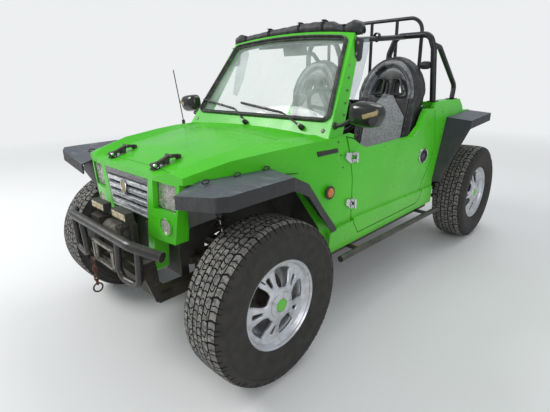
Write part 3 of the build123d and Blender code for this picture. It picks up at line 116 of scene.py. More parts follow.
# Settings that a user would change
class PaintSettings(bpy.types.PropertyGroup):
    """Colours of the gel coat, and the dust on everything."""

    body: FloatVectorProperty(
        name="Body colour", description="Gel coat of the body panels", subtype="COLOR", size=3,
        default=linear("#52C923")[:3],
    )
    shade: FloatVectorProperty(
        name="Body shade", description="Colour that the gel coat wanders to in patches", subtype="COLOR", size=3,
        default=linear("#46BC1B")[:3],
    )
    dust: FloatProperty(
        name="Dust", description="How much road dust lies low on the vehicle", default=1.0, min=0, max=2
    )


class TyreSettings(bpy.types.PropertyGroup):
    """Sizes of the tread."""

    pitches: IntProperty(
        name="Pitches", description="Repeats of the tread pattern round a tyre", default=26, min=20, max=50
    )
    depth: FloatProperty(
        name="Tread depth", description="Depth of the grooves", unit="LENGTH", subtype="DISTANCE", default=0.0095
    )


class SoftSettings(bpy.types.PropertyGroup):
    """Stuffing of the seats."""

    seat_fill: FloatProperty(name="Seat fill", description="How full the seat foam is", default=0.8, min=0, max=1)
    seat_swell: FloatProperty(
        name="Seat swell", description="Furthest that the foam pushes the cover out", unit="LENGTH",
        subtype="DISTANCE", default=0.008,
    )


class StageSettings(bpy.types.PropertyGroup):
    """Floor, lights and camera."""

    floor: FloatVectorProperty(
        name="Floor colour", description="Plain pale floor", subtype="COLOR", size=3, default=(0.80, 0.80, 0.79)
    )
    lens: FloatProperty(name="Focal length", description="Lens on a 36 mm wide sensor, in mm", default=26.18)
    key: FloatProperty(name="Key light", description="Power of the large soft light", unit="POWER", default=290)


# Materials
MATERIALS = {}
BACKDROP = "#EDEFF0"


def add(tree, kind, inputs=None, **settings):
    """Adds one shader node with its settings, and with values or links for its inputs."""
    new = tree.nodes.new(kind)
    for key, value in settings.items():
        setattr(new, key, value)
    for key, value in (inputs or {}).items():
        if isinstance(value, bpy.types.NodeSocket):
            tree.links.new(value, new.inputs[key])
        else:
            new.inputs[key].default_value = value
    return new


def surface(name, colour, roughness, **shader):
    """Makes a material with one Principled shader, and keeps it by its name; returns its tree and the shader."""
    material = bpy.data.materials.new(name)
    material.use_nodes = True
    tree = material.node_tree
    tree.nodes.clear()
    base = linear(colour) if isinstance(colour, str) else colour
    shell = add(tree, "ShaderNodeBsdfPrincipled", {"Base Color": base, "Roughness": roughness})
    for key, value in shader.items():
        shell.inputs[key.replace("_", " ").title().replace("Ior", "IOR")].default_value = value
    add(tree, "ShaderNodeOutputMaterial", {"Surface": shell.outputs[0]})
    material.diffuse_color = base
    MATERIALS[name] = material
    return tree, shell


def grain(tree, size_mm, detail, stretch=None):
    """Noise on the object whose grains are about as large as given, in millimetres."""
    place = add(tree, "ShaderNodeTexCoord").outputs["Object"]
    if stretch:
        place = add(tree, "ShaderNodeMapping", {"Vector": place, "Scale": stretch}).outputs[0]
    return add(tree, "ShaderNodeTexNoise", {"Vector": place, "Scale": 1000 / size_mm, "Detail": detail}).outputs[0]


def patches(tree, size_mm, detail, low, high, to_low=0.0, to_high=1.0, stretch=None):
    """Patches of a size that turn from one value to another where their grain lies between two limits."""
    levels = {0: grain(tree, size_mm, detail, stretch), 1: low, 2: high, 3: to_low, 4: to_high}
    return add(tree, "ShaderNodeMapRange", levels, clamp=True).outputs[0]


def mottled(tree, size_mm, detail, low, high, first, second, share=1.0, stretch=None):
    """A colour that wanders in patches from one, in hex or linked, towards another by up to a share."""
    # Sockets 6 and 7 of a Mix node are its two colours, and its output 2 the mixed one
    colours = {
        0: patches(tree, size_mm, detail, low, high, 0.0, share, stretch),
        6: linear(first) if isinstance(first, str) else first,
        7: linear(second) if isinstance(second, str) else second,
    }
    return add(tree, "ShaderNodeMix", colours, data_type="RGBA").outputs[2]


def dusted(tree, shell, colour, dust, low_mm, high_mm, amount, base):
    """Lays dust over a colour: thick below one height, thin above another, and more on what faces up."""
    place = add(tree, "ShaderNodeSeparateXYZ", {0: add(tree, "ShaderNodeTexCoord").outputs["Object"]})
    facing = add(tree, "ShaderNodeSeparateXYZ", {0: add(tree, "ShaderNodeNewGeometry").outputs["Normal"]})
    levels = {0: place.outputs[2], 1: low_mm * MM, 2: high_mm * MM, 3: amount, 4: base}
    height = add(tree, "ShaderNodeMapRange", levels, clamp=True).outputs[0]
    levels = {0: facing.outputs[2], 1: -0.2, 2: 0.9, 3: 0.55, 4: 1.25}
    lying = add(tree, "ShaderNodeMapRange", levels, clamp=True).outputs[0]
    share = add(tree, "ShaderNodeMath", {0: height, 1: lying}, operation="MULTIPLY").outputs[0]
    uneven = {0: share, 1: patches(tree, 55, 6.0, 0.30, 0.68, 0.25, 1.0)}
    share = add(tree, "ShaderNodeMath", uneven, operation="MULTIPLY").outputs[0]
    film = add(tree, "ShaderNodeMix", {0: share, 6: colour, 7: linear(dust)}, data_type="RGBA")
    tree.links.new(film.outputs[2], shell.inputs["Base Color"])


def raised(tree, shell, height, depth_mm, strength):
    """Gives the shader a relief from a pattern: a linked height, or the size and detail of a grain."""
    if isinstance(height, tuple):
        height = grain(tree, *height)
    relief = {"Height": height, "Strength": strength, "Distance": depth_mm * MM}
    tree.links.new(add(tree, "ShaderNodeBump", relief).outputs[0], shell.inputs["Normal"])


def finish(name, colour, roughness, tone=None, dust=None, gloss=None, clear=None, relief=None, **shader):
    """Makes a finish from its parts, each of which may be left out.

    tone is what mottled takes, dust what dusted takes, gloss and clear what patches takes for the roughness and
    for the alpha, and relief what raised takes.
    """
    tree, shell = surface(name, colour, roughness, **shader)
    base = linear(colour) if isinstance(colour, str) else colour
    if tone:
        base = mottled(tree, *tone)
        tree.links.new(base, shell.inputs["Base Color"])
    if dust:
        dusted(tree, shell, base, *dust)
    if gloss:
        tree.links.new(patches(tree, *gloss), shell.inputs["Roughness"])
    if clear:
        tree.links.new(patches(tree, *clear), shell.inputs["Alpha"])
    if relief:
        raised(tree, shell, *relief)
    return tree, shell


def make_finishes(paint):
    """Makes every finish; each is named for what the real one is.

    Sizes are in millimetres. Grains below about 2 mm don't show in a render of the whole vehicle, so the finest,
    such as orange peel, spark-eroded grain and leather pebbles, are drawn two to four times as coarse.
    """
    film = paint.dust

    # Gel coat over glass fibre: deep gloss, slight waviness, a film of dust low down
    finish(
        "gelcoat_lime", (*paint.body, 1), 0.3, tone=(420, 2.0, 0.3, 0.7, (*paint.shade, 1), (*paint.body, 1)),
        dust=("#A79C82", 330, 700, 0.34 * film, 0.0), gloss=(90, 5.0, 0.3, 0.75, 0.24, 0.38),
        relief=((60, 1.0), 1.2, 0.12), coat_weight=0.15, coat_roughness=0.15, specular_ior_level=0.35,
    )
    # Powder-coated steel tube: satin black with a fine orange peel and scuffs
    finish(
        "powder_coat", "#1B1C1F", 0.34, tone=(14, 8.0, 0.60, 0.74, "#191A1D", "#6E6C68", 0.35, (1, 3, 1)),
        dust=("#857B69", 300, 900, 0.30 * film, 0.03), gloss=(30, 5.0, 0.3, 0.7, 0.26, 0.46),
        relief=((2.6, 2.0), 0.15, 0.5),
    )
    # Frame paint: flat black under caked dust
    finish(
        "frame_paint", "#141416", 0.62, tone=(45, 6.0, 0.35, 0.7, "#121214", "#26241F"),
        dust=("#6B6152", 200, 800, 0.75 * film, 0.15), relief=((7, 6.0), 0.8, 0.5),
    )
    # Vacuum-formed ABS: grained and grey, its upward faces painted lighter and bluer as a sky reflection, partly real
    # sun-bleaching, with paler streaks, dusty in the grain
    tree, shell = surface("abs_weathered", "#31343A", 0.46)
    # Upward faces get a painted sky reflection, lighter and bluer than the sides, and partly real sun-bleaching
    facing = add(tree, "ShaderNodeSeparateXYZ", {0: add(tree, "ShaderNodeNewGeometry").outputs["Normal"]})
    levels = {0: facing.outputs[2], 1: 0.1, 2: 0.9, 3: 0.0, 4: 1.0}
    top = add(tree, "ShaderNodeMapRange", levels, clamp=True).outputs[0]
    sky_sheen_and_bleach = add(tree, "ShaderNodeMix", {0: top, 6: linear("#191B20"), 7: linear("#474C57")}, data_type="RGBA")
    levels[1] = 0.3
    lying = add(tree, "ShaderNodeMapRange", levels, clamp=True).outputs[0]
    streaks = {0: patches(tree, 40, 8.0, 0.56, 0.78, 0, 0.55, (1, 0.35, 1)), 1: lying}
    share = add(tree, "ShaderNodeMath", streaks, operation="MULTIPLY").outputs[0]
    streaked = {0: share, 6: sky_sheen_and_bleach.outputs[2], 7: linear("#8C8F95")}
    tone = add(tree, "ShaderNodeMix", streaked, data_type="RGBA").outputs[2]
    dusted(tree, shell, tone, "#8D8472", 480, 1000, 0.20 * film, 0.04)
    tree.links.new(patches(tree, 18, 6.0, 0.3, 0.7, 0.34, 0.58), shell.inputs["Roughness"])
    raised(tree, shell, (3.0, 3.0), 0.35, 0.6)
    # Injection-moulded plastic: fine spark-eroded grain
    finish(
        "moulded_black", "#17181A", 0.5, tone=(80, 4.0, 0.3, 0.7, "#151618", "#202225"),
        dust=("#857D6C", 400, 1200, 0.30 * film, 0.05), relief=((1.8, 2.0), 0.18, 0.6),
    )
    # Gloss-moulded mirror shells: mirror-smooth black with a little dust
    finish(
        "gloss_black", "#0F1012", 0.18, dust=("#8C8474", 900, 1300, 0.12 * film, 0.04),
        coat_weight=0.3, coat_roughness=0.1,
    )
    # Vulcanised rubber: dull, slightly grey with age
    finish(
        "rubber_seal", "#1C1B1A", 0.66, tone=(24, 6.0, 0.35, 0.7, "#1A1918", "#3A3733"),
        dust=("#8A8171", 300, 1000, 0.25 * film, 0.12), relief=((2.0, 3.0), 0.2, 0.5),
    )
    # Aged glazing rubber: grey with bloom
    finish(
        "aged_rubber", "#3F3F3E", 0.6, tone=(30, 6.0, 0.35, 0.7, "#343433", "#5A5957"),
        relief=((2.4, 3.0), 0.2, 0.5),
    )
    # Tyre sidewall: dark rubber, a little brown
    finish(
        "tyre_sidewall", "#2B2927", 0.74, tone=(40, 7.0, 0.3, 0.72, "#1F1D1C", "#322F2B"),
        relief=((3.5, 5.0), 0.3, 0.5),
    )
    # Tread: the same rubber, its block tops painted pale grey in patches: painted sunlight
    finish(
        "tyre_tread", "#8B877F", 0.86, tone=(16, 7.0, 0.32, 0.66, "#4C4A47", "#8E8C87"),
        relief=((2.4, 5.0), 0.5, 0.8),
    )
    # Silver lacquer on cast aluminium: a fine metallic flake under brake and road dust
    finish(
        "alloy_lacquer", "#B9B8B6", 0.32, tone=(30, 6.0, 0.42, 0.85, "#CDD0D6", "#ADA79F"),
        gloss=(20, 5.0, 0.3, 0.7, 0.28, 0.42), metallic=0.75,
    )
    # Polished grille slats: bright, with a fine diagonal scuff
    finish(
        "polished_slats", "#D3D5D8", 0.3, metallic=0.55,
        tone=(9, 4.0, 0.45, 0.62, "#E2E4E7", "#9FA0A2", 1.0, (1, 0.3, 2.2)),
    )
    # Grey plastic strip over the slats, moulded with a small mesh pattern
    finish(
        "grille_mesh", "#7C7B7E", 0.6, tone=(5, 3.0, 0.4, 0.6, "#5C5B5E", "#8F8E90"),
        relief=((4, 2.0), 0.8, 0.8),
    )
    # Chrome plate: bright, a little pitted
    finish("chrome_plate", "#D7D8DA", 0.12, gloss=(5, 6.0, 0.45, 0.8, 0.08, 0.35), metallic=1.0)
    # Zinc-plated steel, dulled and dusty
    finish(
        "zinc_plate", "#8C8A84", 0.48, tone=(18, 7.0, 0.35, 0.7, "#94928C", "#5F5A50"),
        dust=("#8A7F6C", 300, 900, 0.45 * film, 0.1), relief=((4, 5.0), 0.3, 0.5), metallic=0.7,
    )
    # Rusted chain steel: flaky orange brown over dark iron
    finish(
        "rusted_steel", "#5A4030", 0.72, tone=(9, 7.0, 0.4, 0.62, "#3C3430", "#7A4A2C"),
        relief=((2.2, 6.0), 0.5, 0.9), metallic=0.25,
    )
    # Clear laminated glass with a faint green body tint and a wiped haze
    finish(
        "clear_glass", "#DCEBE2", 0.02, clear=(160, 5.0, 0.35, 0.8, 0.15, 0.32), alpha=0.22, specular_ior_level=1.0,
    )
    # Clear polycarbonate lamp lens, scuffed
    finish(
        "lamp_lens", "#D9D5CC", 0.1, clear=(16, 6.0, 0.4, 0.75, 0.16, 0.62), relief=((12, 1.0), 1.0, 0.4),
        alpha=0.30, specular_ior_level=1.0,
    )
    # Vacuum-metallised reflector, with facets about 18 mm wide
    tree, shell = surface("reflector", "#B9B4AC", 0.3, metallic=0.8)
    place = add(tree, "ShaderNodeTexCoord").outputs["Object"]
    facets = add(tree, "ShaderNodeTexVoronoi", {"Vector": place, "Scale": 55.0})
    raised(tree, shell, facets.outputs[0], 6.0, 0.7)
    # Yellowish diode lens, in square cells about 16 mm wide
    tree, shell = surface("diode_lens", "#CFC08D", 0.22, coat_weight=0.4)
    place = add(tree, "ShaderNodeTexCoord").outputs["Object"]
    cells = add(tree, "ShaderNodeTexVoronoi", {"Vector": place, "Scale": 62.0}, distance="CHEBYCHEV").outputs[0]
    levels = {0: cells, 1: 0.1, 2: 0.7, 3: 0.0, 4: 1.0}
    edge = add(tree, "ShaderNodeMapRange", levels, clamp=True).outputs[0]
    tone = add(tree, "ShaderNodeMix", {0: edge, 6: linear("#E9E0BC"), 7: linear("#A08F5E")}, data_type="RGBA")
    tree.links.new(tone.outputs[2], shell.inputs["Base Color"])
    raised(tree, shell, cells, 2.0, 0.6)
    # Moulded acrylic lenses: deep colour under a smooth skin
    for name, deep, light in (("red_acrylic", "#8E1014", "#C3262A"), ("amber_acrylic", "#B5551D", "#D98A3D")):
        finish(
            name, light, 0.2, tone=(10, 1.0, 0.35, 0.65, deep, light), coat_weight=0.5, coat_roughness=0.08,
        )
    # Beige acrylic strip in the mirror shell
    finish("beige_lens", "#A79567", 0.42, tone=(20, 4.0, 0.35, 0.65, "#8F7F56", "#B3A272"))
    # Coated cloth of the rolled top: black vinyl, creased, dusty on its ridges, ribbed every 6 mm
    tree, shell = finish(
        "vinyl_cloth", "#17171A", 0.55, tone=(45, 7.0, 0.40, 0.72, "#141416", "#37373A"),
        sheen_weight=0.15, sheen_roughness=0.5,
    )
    weave = {"Vector": add(tree, "ShaderNodeTexCoord").outputs["Object"], "Scale": 160.0, "Distortion": 0.6}
    ribs = add(tree, "ShaderNodeTexWave", weave).outputs[1]
    creases = add(tree, "ShaderNodeMath", {0: grain(tree, 18, 4.0), 1: 2.0}, operation="MULTIPLY").outputs[0]
    raised(tree, shell, add(tree, "ShaderNodeMath", {0: ribs, 1: creases}, operation="ADD").outputs[0], 0.8, 0.5)
    # Woven seat cloth, black and white yarns twisted together: reads as a pale salt-and-pepper grey
    tree, shell = surface("mottled_cloth", "#8A8B8E", 0.88, sheen_weight=0.25, sheen_roughness=0.6)
    yarns = mottled(tree, 7, 3.0, 0.38, 0.62, "#7B7D80", "#BCBEC1")
    tree.links.new(mottled(tree, 60, 3.0, 0.35, 0.7, yarns, "#6E6A64", 0.25), shell.inputs["Base Color"])
    raised(tree, shell, (3, 2.0), 0.5, 0.7)
    # Leather-grained vinyl over foam, black and grey: soft gloss and a fine pebble grain
    for name, deep, light in (("black_leatherette", "#16171A", "#26282C"), ("grey_leatherette", "#5B5D61", "#77797D")):
        finish(
            name, deep, 0.42, tone=(70, 5.0, 0.35, 0.7, deep, light),
            dust=("#8A8375", 400, 1500, 0.10 * film, 0.06), relief=((3.2, 2.0), 0.25, 0.6),
        )
    # Silvered mirror glass, a little smeared
    finish("mirror_glass", "#C9D2D8", 0.04, gloss=(40, 5.0, 0.4, 0.8, 0.03, 0.16), metallic=1.0)
    # Smoked acrylic sheet of the wind wings
    finish("tinted_acrylic", "#B4C4CC", 0.06, clear=(90, 5.0, 0.3, 0.8, 0.24, 0.42), alpha=0.3)
    # Blank plate of printed vinyl on the quarter: greyed green, worn
    finish("badge_plate", "#7E9A80", 0.4, tone=(14, 6.0, 0.4, 0.65, "#8AA58C", "#5E7563"))
    # Cast iron and aluminium of the engine block and the brakes: rough skin, oily dust
    finish(
        "cast_metal", "#4B4A48", 0.55, tone=(30, 7.0, 0.35, 0.7, "#565552", "#2C2A27"),
        dust=("#6B6152", 350, 800, 0.5 * film, 0.1), relief=((3.5, 6.0), 0.7, 0.7), metallic=0.6,
    )


# Helpers that shape a bmesh. Vertices of the CAD nodes closer than this are one, in millimetres
WELD = 0.02


def angles(count):
    """Even steps round a turn."""
    return [math.tau * k / count for k in range(count)]


def add_box(bm, low, high, bevel=1.5, material=0):
    """A box between two corners in millimetres from the axle, with its edges rounded."""
    a, b = at(*low), at(*high)
    size = [max(abs(b[k] - a[k]), 1e-5) for k in range(3)]
    placed = Matrix.Translation((a + b) / 2) @ Matrix.Diagonal((*size, 1))
    verts = bmesh.ops.create_cube(bm, size=1, matrix=placed)["verts"]
    return soften(bm, verts, bevel, material)


def soften(bm, verts, bevel, material=0, segments=2):
    """Rounds the edges of what these vertices span and gives its faces a material."""
    faces = {f for v in verts for f in v.link_faces}
    for f in faces:
        f.material_index = material
    if bevel <= 0:
        return faces
    edges = {e for v in verts for e in v.link_edges}
    done = bmesh.ops.bevel(
        bm, geom=list(edges), offset=bevel * MM, segments=segments, profile=0.5, affect="EDGES", material=-1,
        clamp_overlap=True,
    )
    return done["faces"]


def axes_to(direction):
    """A turn that points Z along a direction."""
    return direction.to_track_quat("Z", "Y").to_matrix().to_4x4()


def add_rod(bm, start, end, radius, tip=None, sides=16, material=0):
    """A round bar or cone between two places in metres; radii in millimetres."""
    line = end - start
    placed = Matrix.Translation((start + end) / 2) @ axes_to(line)
    made = bmesh.ops.create_cone(
        bm, cap_ends=True, segments=sides, radius1=radius * MM, radius2=(radius if tip is None else tip) * MM,
        depth=line.length, matrix=placed,
    )
    for f in {f for v in made["verts"] for f in v.link_faces}:
        f.material_index = material
    return made["verts"]


def add_turned(bm, profile, place, direction, sides=32, material=0):
    """A turned shape: (radius, height) points in millimetres spun round a direction from a place in metres."""
    turn = Matrix.Translation(place) @ axes_to(direction)
    verts = [bm.verts.new(turn @ Vector((r * MM, 0, h * MM))) for r, h in profile]
    edges = [bm.edges.new(pair) for pair in zip(verts, verts[1:])]
    before = set(bm.faces)
    bmesh.ops.spin(
        bm, geom=verts + edges, cent=place, axis=direction.normalized(), angle=math.tau, steps=sides, use_merge=True
    )
    made = [f for f in bm.faces if f not in before]
    for f in made:
        f.material_index = material
    bmesh.ops.remove_doubles(bm, verts=list({v for f in made for v in f.verts}), dist=0.01 * MM)
    return made


def add_tube(bm, points, radius, sides=10, closed=False, flat=1.0, material=0):
    """A tube through places in metres, with a round or flattened section, radius in millimetres."""
    count = len(points)
    rings = []
    side = None
    for k, place in enumerate(points):
        ahead = points[(k + 1) % count] if closed or k < count - 1 else place
        behind = points[k - 1] if closed or k > 0 else place
        along = (ahead - behind).normalized()
        if side is None:
            side = along.orthogonal().normalized()
        side = (side - along * side.dot(along)).normalized()
        rim = radius[k] if isinstance(radius, (list, tuple)) else radius
        turn = Matrix((side, along.cross(side), along)).transposed().to_4x4()
        placed = Matrix.Translation(place) @ turn @ Matrix.Diagonal((rim * MM, rim * MM * flat, 1, 1))
        ring = bmesh.ops.create_circle(bm, cap_ends=False, radius=1, segments=sides, matrix=placed)["verts"]
        rings.append(list({e for v in ring for e in v.link_edges}))
    pairs = list(zip(rings, rings[1:])) + ([(rings[-1], rings[0])] if closed else [])
    faces = []
    for first, second in pairs:
        faces += bmesh.ops.bridge_loops(bm, edges=first + second)["faces"]
    if not closed:
        for ring in (rings[0], rings[-1]):
            faces += bmesh.ops.holes_fill(bm, edges=ring, sides=sides + 1)["faces"]
    for f in faces:
        f.material_index = material
    return faces


def add_plate(bm, outline, lift, bevel=1.0, material=0, segments=2):
    """A plate from an outline of places in metres, raised by a vector, with rounded edges."""
    face = bm.faces.new([bm.verts.new(p) for p in outline])
    made = bmesh.ops.extrude_face_region(bm, geom=[face])["geom"]
    top = [v for v in made if isinstance(v, bmesh.types.BMVert)]
    bmesh.ops.translate(bm, verts=top, vec=lift)
    return soften(bm, top + list(face.verts), bevel, material, segments)


def add_bolt(bm, place, direction, radius=6, height=3.5, material=0, sides=12):
    """A low domed screw head."""
    profile = [(0, height), (radius * 0.55, height * 0.9), (radius * 0.9, height * 0.5), (radius, 0), (0, -0.5)]
    return add_turned(bm, profile, place, direction, sides, material)


def smooth_curve(points, steps=8):
    """Places along a smooth line through the given places."""
    line = []
    last = len(points) - 1
    for k in range(last):
        before, first, second, after = (points[max(0, min(last, k + d))] for d in (-1, 0, 1, 2))
        for step in range(steps):
            t = step / steps
            bend = 2 * before - 5 * first + 4 * second - after
            twist = 3 * first - before - 3 * second + after
            line.append(0.5 * (2 * first + (second - before) * t + bend * t * t + twist * t ** 3))
    line.append(points[-1])
    return line


def finished(bm, name, body, materials, crease=38, recalculate=True, merge=0.0):
    """Turns a bmesh into a piece that rides on a body, smooth except at its creases."""
    if merge:
        bmesh.ops.remove_doubles(bm, verts=bm.verts, dist=merge * MM)
    if recalculate:
        bmesh.ops.recalc_face_normals(bm, faces=bm.faces)
    limit = math.radians(crease)
    for f in bm.faces:
        f.smooth = True
    for e in bm.edges:
        e.smooth = len(e.link_faces) == 2 and e.calc_face_angle() < limit
    mesh = bpy.data.meshes.new(name)
    bm.to_mesh(mesh)
    bm.free()
    for material in materials:
        mesh.materials.append(MATERIALS[material])
    piece = bpy.data.objects.new(name, mesh)
    bpy.context.scene.collection.objects.link(piece)
    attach(piece, body)
    return piece


def dress(names, material, bevel=0.0, angle=38):
    """Keeps CAD nodes, rounds their sharp edges and gives them a finish."""
    for name in names:
        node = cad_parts[name]
        mesh = node.data
        if "custom_normal" in mesh.attributes:
            mesh.attributes.remove(mesh.attributes["custom_normal"])
        mesh.materials.clear()
        mesh.materials.append(MATERIALS[material])
        mesh.polygons.foreach_set("use_smooth", [True] * len(mesh.polygons))
        weld = node.modifiers.new("weld", "WELD")
        weld.merge_threshold = WELD * MM
        if bevel:
            rounding = node.modifiers.new("rounded edges", "BEVEL")
            rounding.width = bevel * MM
            rounding.segments = 3
            rounding.limit_method = "ANGLE"
            rounding.angle_limit = math.radians(angle)
            rounding.use_clamp_overlap = True
            node.modifiers.new("even shading", "WEIGHTED_NORMAL").keep_sharp = False
        else:
            split = node.modifiers.new("creases", "EDGE_SPLIT")
            split.split_angle = math.radians(angle)


class VEHICLE_OT_finishes(bpy.types.Operator):
    """Makes every material"""

    bl_idname = "vehicle.finishes"
    bl_label = "Finishes"

    def execute(self, context):
        make_finishes(context.scene.vehicle_paint)
        return {"FINISHED"}


# CAD nodes that show, with their finish and how far their edges are rounded, in millimetres
PANELS = (
    ("hood rear_body windshield_frame", "gelcoat_lime", 6),
    ("front_body", "gelcoat_lime", 2.5),
    ("door_left door_right sills tailgate", "gelcoat_lime", 3),
    ("flare_front_left flare_front_right flare_rear_left flare_rear_right", "abs_weathered", 3),
    ("floor dashboard levers steering_column light_bar inner_mirror", "moulded_black", 3),
    ("chassis suspension_front suspension_rear winch", "frame_paint", 2),
    ("bull_bar side_steps rear_bumper", "powder_coat", 1.5),
    ("roll_cage rear_rack", "powder_coat", 0),
    ("knuckle_left knuckle_right fairlead", "zinc_plate", 2),
    ("radiator", "moulded_black", 1),
    ("tie_rods", "zinc_plate", 0),
    ("engine", "cast_metal", 6),
    ("chain", "rusted_steel", 0),
    ("wipers hood_latches antenna", "rubber_seal", 1),
    ("door_hinges door_fittings_left door_fittings_right", "chrome_plate", 1),
    ("grille", "polished_slats", 1.5),
    ("tail_lamps", "red_acrylic", 3),
    ("steering_wheel", "moulded_black", 0),
    ("windshield_glass", "clear_glass", 0),
)


class VEHICLE_OT_panels(bpy.types.Operator):
    """Gives the CAD nodes that show their finish, and rounds their edges"""

    bl_idname = "vehicle.panels"
    bl_label = "Body Panels"

    def execute(self, context):
        for nodes, material, rounding in PANELS:
            dress(nodes.split(), material, rounding)
        # The doors' latches, behind this place, are black, and the hinge leaves ahead of it are chrome
        latches = at(-1400, 0, 0).x
        for side in SIDES:
            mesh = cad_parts[f"door_fittings_{side}"].data
            mesh.materials.append(MATERIALS["moulded_black"])
            for face in mesh.polygons:
                face.material_index = 1 if face.center.x < latches else 0
        return {"FINISHED"}


# Tyres: half the outside in section as (across, radius), in millimetres, and the radius that the tread is laid on
TREAD_RADIUS = 366.4
HALF_PROFILE = [
    (0, TREAD_RADIUS), (30, 366.2), (60, 365.4), (82, 363.6), (93, 359.5), (101, 352.0), (107.5, 340), (113, 322),
    (116.6, 300), (117.4, 280), (115.5, 258), (110, 236), (102, 219), (95, 210.5), (88, 209.5),
]


def along_profile(t):
    """Across and radius at a distance over the tyre's outside from its middle, with the outward direction."""
    sign = 1 if t >= 0 else -1
    left = abs(t)
    for (y0, r0), (y1, r1) in zip(HALF_PROFILE, HALF_PROFILE[1:]):
        length = math.hypot(y1 - y0, r1 - r0)
        if left <= length:
            share = left / length
            place = sign * (y0 + (y1 - y0) * share), r0 + (r1 - r0) * share
            return *place, sign * (r0 - r1) / length, (y1 - y0) / length
        left -= length
    return sign * y1, r1, sign, 0.0


# How far a block's top draws in from its foot, in millimetres
BLOCK_DRAFT = 1.1


def add_tread_block(bm, outline, depth, material, lift):
    """A tread block: an outline of (along, over) points, wrapped over the tyre and raised."""
    top = []
    for along, over in outline:
        y, r, out_y, out_r = along_profile(over)
        turn = along / TREAD_RADIUS
        place = Vector((math.sin(turn) * r, y, math.cos(turn) * r))
        normal = Vector((math.sin(turn) * out_r, out_y, math.cos(turn) * out_r))
        top.append((place + normal * lift, normal))
    face = bm.faces.new([bm.verts.new((p - n * depth) * MM) for p, n in top])
    made = bmesh.ops.extrude_face_region(bm, geom=[face])["geom"]
    crown = [g for g in made if isinstance(g, bmesh.types.BMFace)][0]
    centre = sum((p for p, _ in top), Vector()) / len(top)
    for vert, (place, _) in zip(crown.verts, top):
        vert.co = (place + (centre - place).normalized() * BLOCK_DRAFT) * MM
    for f in {f for v in crown.verts for f in v.link_faces} - {crown}:
        f.material_index = 0
    crown.material_index = material
    bmesh.ops.delete(bm, geom=[face], context="FACES_ONLY")


# One pitch of an all-terrain tread, in rows that start at a share of half a pitch on the left and on the right.
# Corners of the blocks: share of half a pitch past the start, millimetres more, millimetres over from the middle
TREAD_ROWS = (
    # Middle rib, cut aslant and stepped
    (0, 0.7, (
        ((0, 2, 1.8), (0, -5, 12), (0, -2, 24), (0.58, 0, 25), (0.46, 0, 13), (0.66, 0, 1.8)),
        ((0.72, 0, 1.8), (0.54, 0, 13), (0.66, 0, 25), (1.1, 0, 23), (1.0, 0, 12), (1.22, 0, 1.8)),
        ((1.30, 0, 1.8), (1.10, 0, 13), (1.20, 0, 24), (2, -6, 25), (2, -9, 12), (2, -3, 1.8)),
    )),
    # Second row, large hooked blocks with one branch
    (0.3, 1.05, (
        ((0, 2, 30), (0, -7, 42), (0, -2, 58), (0.72, 0, 60), (0.82, 0, 46), (0.56, 0, 30)),
        ((0.63, 0, 30), (0.90, 0, 44), (0.84, 0, 52), (1.34, 0, 48), (1.20, 0, 30)),
        ((0.80, 0, 57), (1.30, 0, 53), (1.50, 0, 44), (1.72, 0, 60), (0.82, 0, 61)),
        ((1.26, 0, 30), (1.42, 0, 44), (1.78, 0, 58), (2, -9, 43), (2, -3, 30)),
    )),
    # Shoulder blocks, split by a kinked cut
    (0, 0.6, (
        ((0, 3, 65), (0, -3, 80), (0, 2, 97), (0.66, 0, 97), (0.56, 0, 82), (0.70, 0, 65)),
        ((0.76, 0, 65), (0.63, 0, 82), (0.73, 0, 97), (1.12, 0, 97), (1.02, 0, 82), (1.12, 0, 65)),
        ((1.22, 0, 65), (1.10, 0, 82), (1.20, 0, 97), (2, -5, 97), (2, -10, 80), (2, -4, 65)),
    )),
)
# Lugs, a little proud, that carry the shoulder blocks down the sidewall, long and short in turn
LUG_ROW = (0, 0.6, (
    ((0, 2, 98.5), (0, 5, 140), (0.58, 0, 140), (0.66, 0, 98.5)),
    ((0.73, 0, 98.5), (0.76, 0, 122), (1.08, 0, 122), (1.12, 0, 98.5)),
    ((1.20, 0, 98.5), (1.24, 0, 140), (2, -8, 140), (2, -5, 98.5)),
))
LUG_PROUD = 1.6


def tread_row(length, s, left, right, blocks):
    """Outlines of a row's blocks on one side, as (along, over) points in millimetres."""
    start, half = (left if s > 0 else right), length / 2
    return [[((start + share) * half + more, s * over) for share, more, over in block] for block in blocks]


def tread_pitch(length):
    """Outlines and materials of one pitch: the blocks with their tops painted pale as in sunlight, then the dark lugs.
    """
    blocks = [(outline, 1) for s in (-1, 1) for row in TREAD_ROWS for outline in tread_row(length, s, *row)]
    return blocks + [(outline, 0) for s in (-1, 1) for outline in tread_row(length, s, *LUG_ROW)]


